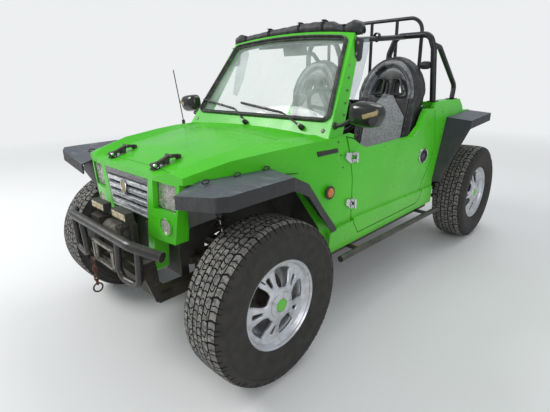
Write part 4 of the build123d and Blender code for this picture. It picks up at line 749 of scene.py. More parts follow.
def tyre_mesh(settings):
    """One tyre about Y at the origin: carcass, rim protector, fine sidewall ribs and the tread."""
    bm = bmesh.new()
    depth = settings.depth / MM
    groove = [(y, r - (depth if y < 100 else depth * max(0.0, (113 - y) / 13) * 0.8)) for y, r in HALF_PROFILE]
    rib = [(109.5, 238), (113.8, 246), (113.2, 250)]
    ridge = [
        (112.8, 324), (115.0, 322), (115.4, 317), (114.0, 315), (115.0, 307), (117.0, 305), (117.3, 299), (116.4, 297)
    ]
    outside = [p for p in groove if p[1] > 326] + ridge + [p for p in groove if 252 < p[1] < 290]
    outside += rib[::-1] + [p for p in groove if p[1] < 237]
    inside = [(81, 209.5), (80, 214), (88, 232), (98, 262), (96, 300), (84, 338), (0, 345)]
    first = [(r, y) for y, r in outside]
    ring = [(r, -y) for y, r in reversed(outside[1:])] + first + [(r, y) for y, r in inside] + [
        (r, -y) for y, r in reversed(inside[:-1])
    ]
    verts = [bm.verts.new(Vector((0, y, r)) * MM) for r, y in ring]
    edges = [bm.edges.new(pair) for pair in zip(verts, verts[1:] + verts[:1])]
    bmesh.ops.spin(bm, geom=verts + edges, cent=(0, 0, 0), axis=(0, 1, 0), angle=math.tau, steps=96, use_merge=True)
    bmesh.ops.recalc_face_normals(bm, faces=bm.faces)
    carcass = set(bm.faces)
    length = math.tau * TREAD_RADIUS / settings.pitches
    for outline, material in tread_pitch(length):
        add_tread_block(bm, outline, depth, material, 0 if material else LUG_PROUD)
    blocks = [f for f in bm.faces if f not in carcass]
    bmesh.ops.recalc_face_normals(bm, faces=blocks)
    geom = list({v for f in blocks for v in f.verts}) + list({e for f in blocks for e in f.edges}) + blocks
    turn = math.tau / settings.pitches
    bmesh.ops.spin(
        bm, geom=geom, cent=(0, 0, 0), axis=(0, 1, 0), angle=math.tau - turn, steps=settings.pitches - 1,
        use_duplicate=True,
    )
    return bm


class VEHICLE_OT_tyres(bpy.types.Operator):
    """Builds the four tyres with their tread"""

    bl_idname = "vehicle.tyres"
    bl_label = "Tyres"

    def execute(self, context):
        pattern = bpy.data.meshes.new("tyre_pattern")
        bm = tyre_mesh(context.scene.vehicle_tyres)
        bm.to_mesh(pattern)
        bm.free()
        for end, x in AXLES.items():
            for side, s in SIDES.items():
                bm = bmesh.new()
                bm.from_mesh(pattern)
                turn = Matrix.Rotation(math.radians(7 * s + x / 100), 4, "Y")
                if s < 0:
                    turn = Matrix.Rotation(math.pi, 4, "Z") @ turn
                bm.transform(Matrix.Translation(at(x, s * WHEEL_Y, WHEEL_Z)) @ turn)
                piece = finished(
                    bm, f"tyre_tread_{end}_{side}", f"{end}_{side}_wheel", ["tyre_sidewall", "tyre_tread"],
                    recalculate=False,
                )
                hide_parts(f"tyre_{end}_{side}")
        bpy.data.meshes.remove(pattern)
        return {"FINISHED"}


# Wheels
def alloy_face(bm):
    """Five cast spokes that fork at the rim, on a grid of one fifth that is spun round the axle."""
    # The grid's columns in degrees, its rows as radii, and how far out each row stands, in millimetres
    fan = [-36, -27, -19, -11.5, -4.2, 4.2, 11.5, 19, 27, 36]
    radii = [29, 62, 80, 98, 122, 146, 160, 172, 182]
    crest = {29: 92, 62: 88, 80: 84, 98: 80, 122: 73, 146: 68, 160: 66, 172: 67, 182: 74}
    grid = bmesh.ops.create_grid(bm, x_segments=len(fan) - 1, y_segments=len(radii) - 1, size=1)["verts"]
    columns = sorted({round(v.co.x, 5) for v in grid})
    rows = sorted({round(v.co.y, 5) for v in grid})
    cell = {}
    for v in grid:
        i, j = columns.index(round(v.co.x, 5)), rows.index(round(v.co.y, 5))
        cell[v] = (i, j)
        angle, r = fan[i], radii[j]
        if r in (98, 146) and abs(angle) in (11.5, 19):
            angle *= 0.90 if r == 98 else 1.08
        if r == 80 and abs(angle) in (19, 27):
            angle = math.copysign(23 if abs(angle) == 19 else 29, angle)
        if abs(angle) == 4.2:
            angle = math.copysign({122: 3.2, 146: 6.0}.get(r, 4.2), angle)
        drop = 0 if abs(angle) < 12 else (5 if 80 < r < 160 else 1)
        turn = math.radians(angle)
        v.co = Vector((math.sin(turn) * r, crest[r] - drop, math.cos(turn) * r)) * MM
    gone = []
    for f in bm.faces:
        i = min(cell[v][0] for v in f.verts)
        j = min(cell[v][1] for v in f.verts)
        window = (i <= 1 or i >= 7) and 2 <= j <= 5
        slot = i == 4 and 3 <= j <= 4
        if window or slot:
            gone.append(f)
    bmesh.ops.delete(bm, geom=gone, context="FACES")
    geom = list(bm.verts) + list(bm.edges) + list(bm.faces)
    bmesh.ops.spin(
        bm, geom=geom, cent=(0, 0, 0), axis=(0, 1, 0), angle=math.tau * 0.8, steps=4, use_duplicate=True
    )
    bmesh.ops.remove_doubles(bm, verts=bm.verts, dist=0.5 * MM)
    bmesh.ops.recalc_face_normals(bm, faces=bm.faces)
    if sum(f.normal.y for f in bm.faces) < 0:
        bmesh.ops.reverse_faces(bm, faces=bm.faces)
    bmesh.ops.solidify(bm, geom=bm.faces, thickness=17 * MM)
    bmesh.ops.recalc_face_normals(bm, faces=bm.faces)


# The rim in section, as (radius, along the axle) in millimetres
RIM_PROFILE = [
    (207, -95), (207, -88), (191, -88), (190.5, -55), (165, -40), (165, 20), (190.5, 35), (191, 88), (207, 88),
    (207.5, 93), (205, 95), (200, 94.5), (196, 90), (190, 84), (184, 76), (180, 70), (172, 62), (160, 50), (156, 30),
    (156, -45), (176, -62), (183, -75), (183, -95),
]


class VEHICLE_OT_wheels(bpy.types.Operator):
    """Builds the cast wheels, their covers, brakes and valves"""

    bl_idname = "vehicle.wheels"
    bl_label = "Wheels"

    def execute(self, context):
        phase = math.radians(21.6)
        leaves, gap = 5, 0.036
        for end, x in AXLES.items():
            for side, s in SIDES.items():
                home = Matrix.Translation(at(x, s * WHEEL_Y, WHEEL_Z))
                turn = Matrix.Rotation(phase, 4, "Y")
                if s < 0:
                    turn = Matrix.Rotation(math.pi, 4, "Z") @ turn
                body = f"{end}_{side}_wheel"
                bm = bmesh.new()
                alloy_face(bm)
                bm.transform(home @ turn)
                spokes = finished(bm, f"wheel_spokes_{end}_{side}", body, ["alloy_lacquer"], 60)
                subdivision = spokes.modifiers.new("cast surface", "SUBSURF")
                subdivision.levels = subdivision.render_levels = 2
                bm = bmesh.new()
                origin, axle = Vector(), Vector((0, 1, 0))
                add_turned(bm, RIM_PROFILE + RIM_PROFILE[:1], origin, axle, 72)
                # Hub cover in five leaves with hairline gaps, and the plain cap in its middle
                cover = [(30, 88), (30, 93), (44, 94), (57, 91.5), (60, 87), (60, 82)]
                for leaf in range(leaves):
                    start = math.tau / leaves * (leaf + 0.5) + gap / 2
                    verts = [
                        bm.verts.new(Matrix.Rotation(start, 3, "Y") @ Vector((0, h, r)) * MM) for r, h in cover
                    ]
                    edges = [bm.edges.new(p) for p in zip(verts, verts[1:])]
                    bmesh.ops.spin(
                        bm, geom=verts + edges, cent=origin, axis=axle, angle=math.tau / leaves - gap, steps=10
                    )
                cap = [(0, 97.5), (15, 97), (25, 95.4), (28.5, 93), (28.5, 86), (0, 86)]
                add_turned(bm, cap, origin, axle, 36, 1)
                # Brake disc and hub behind the spokes
                add_turned(bm, [(0, 60), (44, 60), (46, 40), (46, -30), (0, -30)], origin, axle, 32, 2)
                add_turned(bm, [(46, -16), (112, -16), (112, -24), (46, -24)], origin, axle, 48, 2)
                valve = Matrix.Rotation(math.radians(12), 3, "Y")
                add_rod(bm, valve @ Vector((0, 60, 170)) * MM, valve @ Vector((0, 86, 158)) * MM, 4, 3, 10, 3)
                bm.transform(home @ turn)
                wheel = finished(
                    bm, f"wheel_rim_{end}_{side}", body,
                    ["alloy_lacquer", "gelcoat_lime", "cast_metal", "rubber_seal"], 40, merge=0.01,
                )
                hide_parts(f"wheel_{end}_{side}")
        return {"FINISHED"}


# Soft parts: the seats and the rolled top. A seat's middle across, its grey panel's half width and the height where
# that narrows, and the top of its back as half an ellipse over a height, in millimetres
SEAT_MIDDLE = 320
PANEL_HALF, PANEL_TOP = 152, 1010
ARCH_HALF, ARCH_RISE, ARCH_FOOT = 222, 294, 1110
FOAM_FRAMES = 20


def settled(piece):
    """Applies a piece's modifiers to its mesh."""
    graph = bpy.context.evaluated_depsgraph_get()
    mesh = bpy.data.meshes.new_from_object(piece.evaluated_get(graph))
    piece.modifiers.clear()
    old = piece.data
    piece.data = mesh
    bpy.data.meshes.remove(old)


def swollen(node, name, voxel, floor, furthest):
    """A padded copy of a CAD node: welded, cut at a height, remeshed and swollen by cloth pressure up to a way."""
    bm = bmesh.new()
    bm.from_mesh(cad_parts[node].data)
    bmesh.ops.remove_doubles(bm, verts=bm.verts, dist=WELD * MM)
    cut = bmesh.ops.bisect_plane(
        bm, geom=list(bm.verts) + list(bm.edges) + list(bm.faces), plane_co=(0, 0, floor * MM),
        plane_no=(0, 0, 1), clear_inner=True,
    )["geom_cut"]
    bmesh.ops.holes_fill(bm, edges=[g for g in cut if isinstance(g, bmesh.types.BMEdge)], sides=0)
    mesh = bpy.data.meshes.new(name)
    bm.to_mesh(mesh)
    bm.free()
    piece = bpy.data.objects.new(name, mesh)
    bpy.context.scene.collection.objects.link(piece)
    remesh = piece.modifiers.new("voxels", "REMESH")
    remesh.mode = "VOXEL"
    remesh.voxel_size = voxel * MM
    smooth = piece.modifiers.new("eased", "SMOOTH")
    smooth.iterations = 3
    settled(piece)
    rest = [v.co.copy() for v in piece.data.vertices]
    cloth = piece.modifiers.new("foam", "CLOTH")
    cloth.settings.use_pressure = True
    cloth.settings.uniform_pressure_force = 4
    cloth.settings.effector_weights.gravity = 0
    for step in range(1, FOAM_FRAMES + 1):
        bpy.context.scene.frame_set(step)
    graph = bpy.context.evaluated_depsgraph_get()
    moved = [v.co.copy() for v in piece.evaluated_get(graph).data.vertices]
    piece.modifiers.clear()
    for vert, start, end in zip(piece.data.vertices, rest, moved):
        way = end - start
        vert.co = start + way * min(1.0, furthest / max(way.length, 1e-9))
    bpy.context.scene.frame_set(1)
    finer = piece.modifiers.new("finer", "SUBSURF")
    finer.levels = finer.render_levels = 1
    settled(piece)
    piece.data.polygons.foreach_set("use_smooth", [True] * len(piece.data.polygons))
    return piece


def seat_zone(place, normal, side):
    """Material of a face of the seat: 0 mottled grey, 1 black, 2 smooth grey."""
    x, y, z = place.x / MM - AXLE, place.y / MM * side - SEAT_MIDDLE, place.z / MM
    if z < 655 and x > -1470:
        return 0 if normal.z > 0.5 and abs(y) < 138 and x > -1420 else 1
    if normal.x < 0.12:
        return 1
    half = PANEL_HALF - max(z - PANEL_TOP, 0) * 0.80
    if abs(y) < half and z < 1150:
        return 0
    reach = 1 - math.hypot(y / ARCH_HALF, max(z - ARCH_FOOT, 0) / ARCH_RISE)
    turn = math.degrees(math.atan2(y, max(z - ARCH_FOOT, 1)))
    if z > ARCH_FOOT + 10 and 0.10 < reach < 0.34 and not -34 < turn < -12 and abs(turn) < 84:
        return 2
    return 1


def surface_line(piece, points, lift=0.4):
    """Drops places across and up onto the front of a seat."""
    tree = BVHTree.FromObject(piece, bpy.context.evaluated_depsgraph_get())
    line = []
    for y, z in points:
        hit = tree.ray_cast(at(-900, y, z), Vector((-1, 0, 0)))
        if hit[0] is not None:
            line.append(hit[0] + hit[1] * lift * MM)
    return line


class VEHICLE_OT_seats(bpy.types.Operator):
    """Pads the two bucket seats and adds their seams, slot frames and rails"""

    bl_idname = "vehicle.seats"
    bl_label = "Seats"

    def execute(self, context):
        soft = context.scene.vehicle_soft
        cover = swollen("seat_left", "seat_pad_left", 10, 474, soft.seat_swell)
        twin = bpy.data.objects.new("seat_pad_right", cover.data.copy())
        bm = bmesh.new()
        bm.from_mesh(twin.data)
        bmesh.ops.scale(bm, vec=(1, -1, 1), verts=bm.verts)
        bmesh.ops.reverse_faces(bm, faces=bm.faces)
        bm.to_mesh(twin.data)
        bm.free()
        context.scene.collection.objects.link(twin)
        context.view_layer.update()
        for side, piece in (("left", cover), ("right", twin)):
            s = SIDES[side]
            middle_y = s * SEAT_MIDDLE
            mesh = piece.data
            mesh.materials.clear()
            for material in ("mottled_cloth", "black_leatherette", "grey_leatherette"):
                mesh.materials.append(MATERIALS[material])
            for face in mesh.polygons:
                face.material_index = seat_zone(face.center, face.normal, s)
            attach(piece, "vehicle")
            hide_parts(f"seat_{side}")
            bm = bmesh.new()
            for t in (-1, 1):
                panel = [(s * (SEAT_MIDDLE + t * PANEL_HALF), z) for z in range(680, PANEL_TOP + 1, 30)]
                panel += [
                    (s * (SEAT_MIDDLE + t * (PANEL_HALF - k * 12)), PANEL_TOP + k * 15) for k in range(1, 10)
                ]
                line = surface_line(piece, panel)
                if len(line) > 3:
                    add_tube(bm, line, 3.2, 8)
                slot = [
                    (t * 34, 1156), (t * 33, 1200), (t * 34, 1249), (t * 58, 1252), (t * 84, 1246), (t * 102, 1205),
                    (t * 116, 1160), (t * 76, 1153),
                ]
                rim = [at(-1488 - (z - 1150) * 0.28, s * (SEAT_MIDDLE + y), z) for y, z in slot]
                rim = smooth_curve(rim + rim[:1], 5)[:-1]
                add_tube(bm, rim, 8.5, 8, closed=True, material=1)
            for inset in (22, 78):
                arch = []
                for k in range(-80, 81, 5):
                    across = math.sin(math.radians(k)) * (ARCH_HALF - inset)
                    up = math.cos(math.radians(k)) * (ARCH_RISE - inset)
                    arch.append((s * (SEAT_MIDDLE + across), ARCH_FOOT + up))
                line = surface_line(piece, arch)
                if len(line) > 3:
                    add_tube(bm, line, 2.6, 8)
            # Slide rails, and the bar in front that frees them
            for y in (middle_y - 130, middle_y + 130):
                add_box(bm, (-1420, y - 14, 405.5), (-1100, y + 14, 430), 3, 2)
                add_box(bm, (-1400, y - 9, 430), (-1120, y + 9, 476), 3, 2)
            add_rod(bm, at(-1092, middle_y - 120, 450), at(-1092, middle_y + 120, 450), 7, material=2)
            finished(
                bm, f"seat_trim_{side}", "vehicle", ["black_leatherette", "moulded_black", "powder_coat"]
            )
        return {"FINISHED"}


# Places across, radius, and how far the bundle hangs forward, all in millimetres
BUNDLE = (
    (-500, 14, 0), (-488, 32, 2), (-455, 38, 4), (-425, 33, 2), (-402, 22, -2), (-380, 27, 2), (-300, 25, 4),
    (-180, 29, 2), (-60, 31, 0), (60, 34, 4), (190, 38, 2), (300, 37, 4), (352, 30, 0), (388, 23, -2), (412, 34, 4),
    (450, 41, 6), (488, 38, 4), (505, 32, 2), (512, 22, 0),
)


class VEHICLE_OT_soft_top(bpy.types.Operator):
    """Rolls the cloth top along the windshield header and ties it"""

    bl_idname = "vehicle.soft_top"
    bl_label = "Rolled Top"

    def execute(self, context):
        random.seed(7)
        turns, across, around = 2.6, 90, 84
        bm = bmesh.new()
        grid = bmesh.ops.create_grid(bm, x_segments=across, y_segments=around, size=1)["verts"]
        lumps = [(random.uniform(0, math.tau), random.uniform(5, 14), random.uniform(1, 4)) for _ in range(9)]
        for v in grid:
            u, w = (v.co.x + 1) / 2, (v.co.y + 1) / 2
            y = BUNDLE[0][0] + (BUNDLE[-1][0] - BUNDLE[0][0]) * u
            for first, second in zip(BUNDLE, BUNDLE[1:]):
                if first[0] <= y <= second[0]:
                    t = (y - first[0]) / (second[0] - first[0])
                    t = t * t * (3 - 2 * t)
                    r, hang = (first[k] + (second[k] - first[k]) * t for k in (1, 2))
            turn = w * turns * math.tau
            share = 0.34 + 0.66 * w
            crease = sum(math.sin(phase + turn * round(n) + y / 120 * m) for phase, m, n in lumps) / len(lumps)
            reach = r * share * (1 + 0.11 * crease) - 2
            home = on_shield(y, RUN + header_rise(y) + r + 1, -22 + hang)
            v.co = home + Vector((math.sin(turn - 0.9) * reach, 0, math.cos(turn - 0.9) * reach)) * MM
        bmesh.ops.recalc_face_normals(bm, faces=bm.faces)
        area = sum(f.calc_area() for f in bm.faces)
        roll = finished(bm, "soft_top_roll", "vehicle", ["vinyl_cloth"], 180, recalculate=False)
        wall = roll.modifiers.new("cloth", "SOLIDIFY")
        wall.thickness = 1.2 * MM
        wall.offset = 0
        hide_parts("soft_top")
        # Webbing ties, 1.5 mm outside the roll, each with a buckle
        bm = bmesh.new()
        for y, r in ((-402, 23.5), (-190, 30.5), (60, 35.5), (240, 38.5), (388, 24.5)):
            home = on_shield(y, RUN + header_rise(y) + r, -21)
            ring = [home + Vector((math.sin(a) * r, 0, math.cos(a) * r)) * MM for a in angles(24)]
            for offset in (-6, 0, 6):
                add_tube(bm, [p + Vector((0, offset * MM, 0)) for p in ring], 3.4, 6, closed=True, flat=0.45)
            x, z = home.x / MM - AXLE, home.z / MM + r
            add_box(bm, (x + 6, y - 11, z - 2), (x + 26, y + 11, z + 4), 2, 1)
        ties = finished(bm, "soft_top_ties", "vehicle", ["rubber_seal", "moulded_black"])
        return {"FINISHED"}


# Nose, in millimetres ahead of the axle: its face, the lamps' lenses, the bottoms of their pockets and the grille
NOSE_X = 266
LENS_X = 240
POCKET_X = 212
GRILLE_X = 264
LAMP_FACE = [(232, 754), (250, 882), (398, 874), (384, 758)]
FOG_Y, FOG_Z = 310, 686
WINCH_X, WINCH_Z = 345, 620


def inset_outline(points, inset):
    """Moves an outline's corners towards its middle."""
    cy = sum(p[0] for p in points) / len(points)
    cz = sum(p[1] for p in points) / len(points)
    return [
        (y + math.copysign(min(inset, abs(cy - y)), cy - y), z + math.copysign(min(inset, abs(cz - z)), cz - z))
        for y, z in points
    ]


class VEHICLE_OT_lamps(bpy.types.Operator):
    """Builds the headlamps, fog lamps, square lamps and side markers"""

    bl_idname = "vehicle.lamps"
    bl_label = "Lamps"

    def execute(self, context):
        bm = bmesh.new()
        glass = bmesh.new()
        forward = Vector((1, 0, 0))
        for s in (-1, 1):
            face = [(s * y, z) for y, z in LAMP_FACE]
            back = [at(POCKET_X + 1, y, z) for y, z in inset_outline(face, 1)]
            add_plate(bm, back, Vector((2 * MM, 0, 0)), 0.5, 0)
            centre = at(POCKET_X + 3, s * 318, 818)
            bowl = [(9, 0.5), (24, 1.2), (40, 4), (52, 9), (57, 10.5), (60, 8), (60, 0)]
            add_turned(bm, bowl, centre, forward, 40, 0)
            add_turned(bm, [(0, 9), (6, 8.5), (9, 6), (9, 0), (0, 0)], centre, forward, 20, 1)
            for k in range(7):
                y = s * (262 + k * 20)
                add_rod(bm, at(POCKET_X + 3, y, 762), at(POCKET_X + 3, y + s * 2, 868), 2.2, sides=8)
            lens = [at(LENS_X - 3, y, z) for y, z in inset_outline(face, 0.5)]
            add_plate(glass, lens, Vector((3 * MM, 0, 0)), 1.2, 0, 3)
            rim = [at(LENS_X - 1, y, z) for y, z in inset_outline(face, 1)]
            for first, second in zip(rim, rim[1:] + rim[:1]):
                add_rod(bm, first, second, 2.6, sides=8, material=2)
            fog = at(NOSE_X - 19, s * FOG_Y, FOG_Z)
            dish = [(0, 1), (8, 1.2), (22, 3.5), (33, 9), (36, 12), (39, 12), (39, 0), (0, 0)]
            add_turned(bm, dish, fog, forward, 36, 0)
            add_turned(bm, [(0, 9), (5, 8), (6, 0)], fog, forward, 16, 1)
            add_turned(glass, [(0, 17), (20, 16), (32, 13.5), (36, 11.5), (36, 9), (0, 11)], fog, forward, 36, 0)
            add_turned(bm, [(36, 9), (36.5, 14), (38, 15.5), (39.5, 14), (39.5, 9)], fog, forward, 40, 3)
            marker = at(-503, s * 599, 724)
            out = Vector((0, s, 0))
            add_turned(bm, [(34, 0), (35, 4), (31, 8), (27, 8.5), (26, 4), (0, 4)], marker, out, 36, 2)
            add_turned(glass, [(0, 15), (12, 14), (22, 10), (26, 6), (26, 3), (0, 4)], marker, out, 30, 1)
        housing = finished(
            bm, "lamp_housings", "vehicle", ["reflector", "chrome_plate", "rubber_seal", "gelcoat_lime"]
        )
        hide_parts("front_lamps")
        finished(glass, "lamp_glass", "vehicle", ["lamp_lens", "amber_acrylic"], 50)
        # Two square diode lamps: lens cells, bezel and cooling fins on each housing
        bm = bmesh.new()
        for s in (-1, 1):
            low, high = sorted((s * 38, s * 178))
            for k in range(8):
                for j in range(2):
                    y = low + 8 + k * 15.5
                    z = 704 + j * 15.5
                    add_box(bm, (367, y, z), (370.5, y + 14.5, z + 14.5), 1.6, 0)
            for z in (701.5, 735.5):
                add_box(bm, (364, low + 2, z), (371, high - 2, z + 3), 1, 1)
            for y in (low + 1.5, high - 6):
                add_box(bm, (364, y, 702), (371, y + 4.5, 738), 1, 1)
            for k in range(9):
                y = low + 12 + k * 14
                add_box(bm, (327, y, 705), (334, y + 4, 735), 0.8, 1)
            for y in (low - 1, high - 3):
                add_bolt(bm, at(350, y + 2, 719), Vector((0, s, 0)), 6, 3, 1)
        finished(bm, "diode_lamps", "vehicle", ["diode_lens", "moulded_black"])
        return {"FINISHED"}


class VEHICLE_OT_nose(bpy.types.Operator):
    """Backs the grille, adds its head strip and blank oval, the wheel housing liners and winch fittings"""

    bl_idname = "vehicle.nose"
    bl_label = "Nose Details"

    def execute(self, context):
        bm = bmesh.new()
        half, low_half, top, low = 208, 171, 878, 692
        add_box(bm, (232, -low_half + 4, low), (238, low_half - 4, top - 30), 1, 0)
        for k in range(-10, 11):
            y = k * 17.5
            shorten = max(0, (abs(y) - low_half) * 4.6)
            add_box(bm, (239, y - 1.6, low + 10 + shorten), (244, y + 1.6, top - 28), 0.6, 1)
        strip = [(-half + 2, top - 1), (half - 2, top - 1), (half - 7, top - 26), (-half + 7, top - 26)]
        add_plate(bm, [at(GRILLE_X - 1, y, z) for y, z in strip], Vector((3.5 * MM, 0, 0)), 1.2, 2)
        emblem = at(GRILLE_X + 1, -27, 805)
        facing = Matrix.Translation(emblem + Vector((3.5 * MM, 0, 0))) @ Matrix.Rotation(math.pi / 2, 4, "Y")
        oval = bmesh.ops.create_circle(
            bm, cap_ends=True, segments=40, radius=1, matrix=facing @ Matrix.Diagonal((33 * MM, 24 * MM, 1, 1))
        )["verts"]
        for face in {f for v in oval for f in v.link_faces}:
            face.material_index = 4
        ring = [emblem + Vector((3, math.cos(a) * 25, math.sin(a) * 34)) * MM for a in angles(40)]
        add_tube(bm, ring, 3.2, 8, closed=True, material=3)
        finished(
            bm, "grille_details", "vehicle",
            ["moulded_black", "powder_coat", "grille_mesh", "chrome_plate", "beige_lens"],
        )
        # Plastic liners that close the front wheel housings: arch, corner behind the lamp and inner wall
        bm = bmesh.new()
        for s in (-1, 1):
            arch = [(-640, 500), (-560, 640), (-470, 775), (-330, 853), (-150, 872), (60, 852), (160, 830), (222, 806)]
            for (x0, z0), (x1, z1) in zip(arch, arch[1:]):
                line = [at(x0, s * 300, z0), at(x1, s * 300, z1), at(x1, s * 560, z1), at(x0, s * 560, z0)]
                add_plate(bm, line, Vector((0, 0, -3 * MM)), 0, 0)
            corner = [(430, 700), (430, 876), (520, 868), (590, 838), (622, 800), (622, 792)]
            add_plate(bm, [at(224, s * y, z) for y, z in corner], Vector((-4 * MM, 0, 0)), 0.8, 0)
            wall = [
                (-500, 420), (-445, 548), (-235, 858), (150, 835), (204, 812), (204, 475), (140, 475), (110, 560),
                (-60, 590), (-300, 590), (-420, 420),
            ]
            inner = [at(x, s * 305, z) for x, z in wall]
            add_plate(bm, inner, Vector((0, s * 3 * MM, 0)), 0, 0)
        finished(bm, "wheel_housing_liners", "vehicle", ["moulded_black"], 30)
        # Winch: rope turns, end caps, screws, cooling ribs, and the pierced brackets and screws below the nose
        bm = bmesh.new()
        for k in range(12):
            drum = at(WINCH_X, -52 + k * 12, WINCH_Z)
            ring = [drum + Vector((math.cos(a), 0, math.sin(a))) * 37.5 * MM for a in angles(20)]
            add_tube(bm, ring, 5.5, 6, closed=True, material=1)
        motor, gears = at(WINCH_X, -150, WINCH_Z + 2), at(WINCH_X, 140, WINCH_Z + 2)
        add_turned(bm, [(0, 14), (24, 13), (34, 9), (38, 0), (0, 0)], motor, Vector((0, -1, 0)), 24, 0)
        add_turned(bm, [(0, 10), (22, 9), (32, 6), (36, 0), (0, 0)], gears, Vector((0, 1, 0)), 24, 0)
        for y in (-138, -72, 102, 128):
            for x in (312, 372):
                add_bolt(bm, at(x, y, 675), Vector((0, 0, 1)), 5, 3.5, 2)
        for k in range(5):
            add_box(bm, (308, -142 + k * 15, 678), (378, -136 + k * 15, 682), 1, 0)
        for s in (-1, 1):
            add_box(bm, (250, s * 150 - 30, 598), (256, s * 150 + 30, 668), 1.5, 2)
            for k in range(5):
                for j in range(5):
                    y, z = s * 150 - 24 + k * 12, 606 + j * 13
                    add_rod(bm, at(255, y, z), at(258, y, z), 4, 3, 8, 0)
            for z in (470, 560):
                add_bolt(bm, at(421, s * 98, z), Vector((1, 0, 0)), 7, 5, 2)
        finished(bm, "winch_fittings", "vehicle", ["moulded_black", "zinc_plate", "cast_metal"])
        # Rubber hood latches: silver pins and plates on the black straps
        bm = bmesh.new()
        for s in (-1, 1):
            strap = s * 204
            for t in (-1, 1):
                y = strap + t * 17
                pin = [(0, 4), (5, 3.5), (8, 1.5), (8.5, -2), (0, -2)]
                add_turned(bm, pin, at(229, y, 933), Vector((0, t, 0)), 16, 0)
                add_bolt(bm, at(218, y, 921), Vector((0.25, 0, 1)).normalized(), 4.5, 3, 0)
            plate = [(204, strap - 15, 917), (172, strap - 15, 928), (172, strap + 15, 928), (204, strap + 15, 917)]
            add_plate(bm, [at(*place) for place in plate], Vector((0, 0, 3 * MM)), 0.8, 0)
        finished(bm, "latch_pins", "hood_panel", ["chrome_plate"])
        return {"FINISHED"}


# Windshield
def opening_line(inset, out, steps=6):
    """A closed line round the windshield's opening, inset from its edge."""
    low, high = FOOT_BAR + inset, RUN - HEAD_BAR - inset
    line = []
    radius = CORNER - inset
    for s, run, start in ((1, low, -90), (1, high, 0), (-1, high, 90), (-1, low, 180)):
        centre_y = s * (shield_half(run) - SIDE_BAR - inset - radius)
        centre_run = run + radius if run == low else run - radius
        for k in range(steps + 1):
            turn = math.radians(start + 90 * k / steps)
            y, r = centre_y + math.cos(turn) * radius, centre_run + math.sin(turn) * radius
            line.append(on_shield(y, r + (header_rise(y) if run == high else 0), out))
        if run == high and s == 1:
            for k in range(1, 12):
                y = centre_y * (1 - k / 6)
                line.append(on_shield(y, high + header_rise(y), out))
    return line


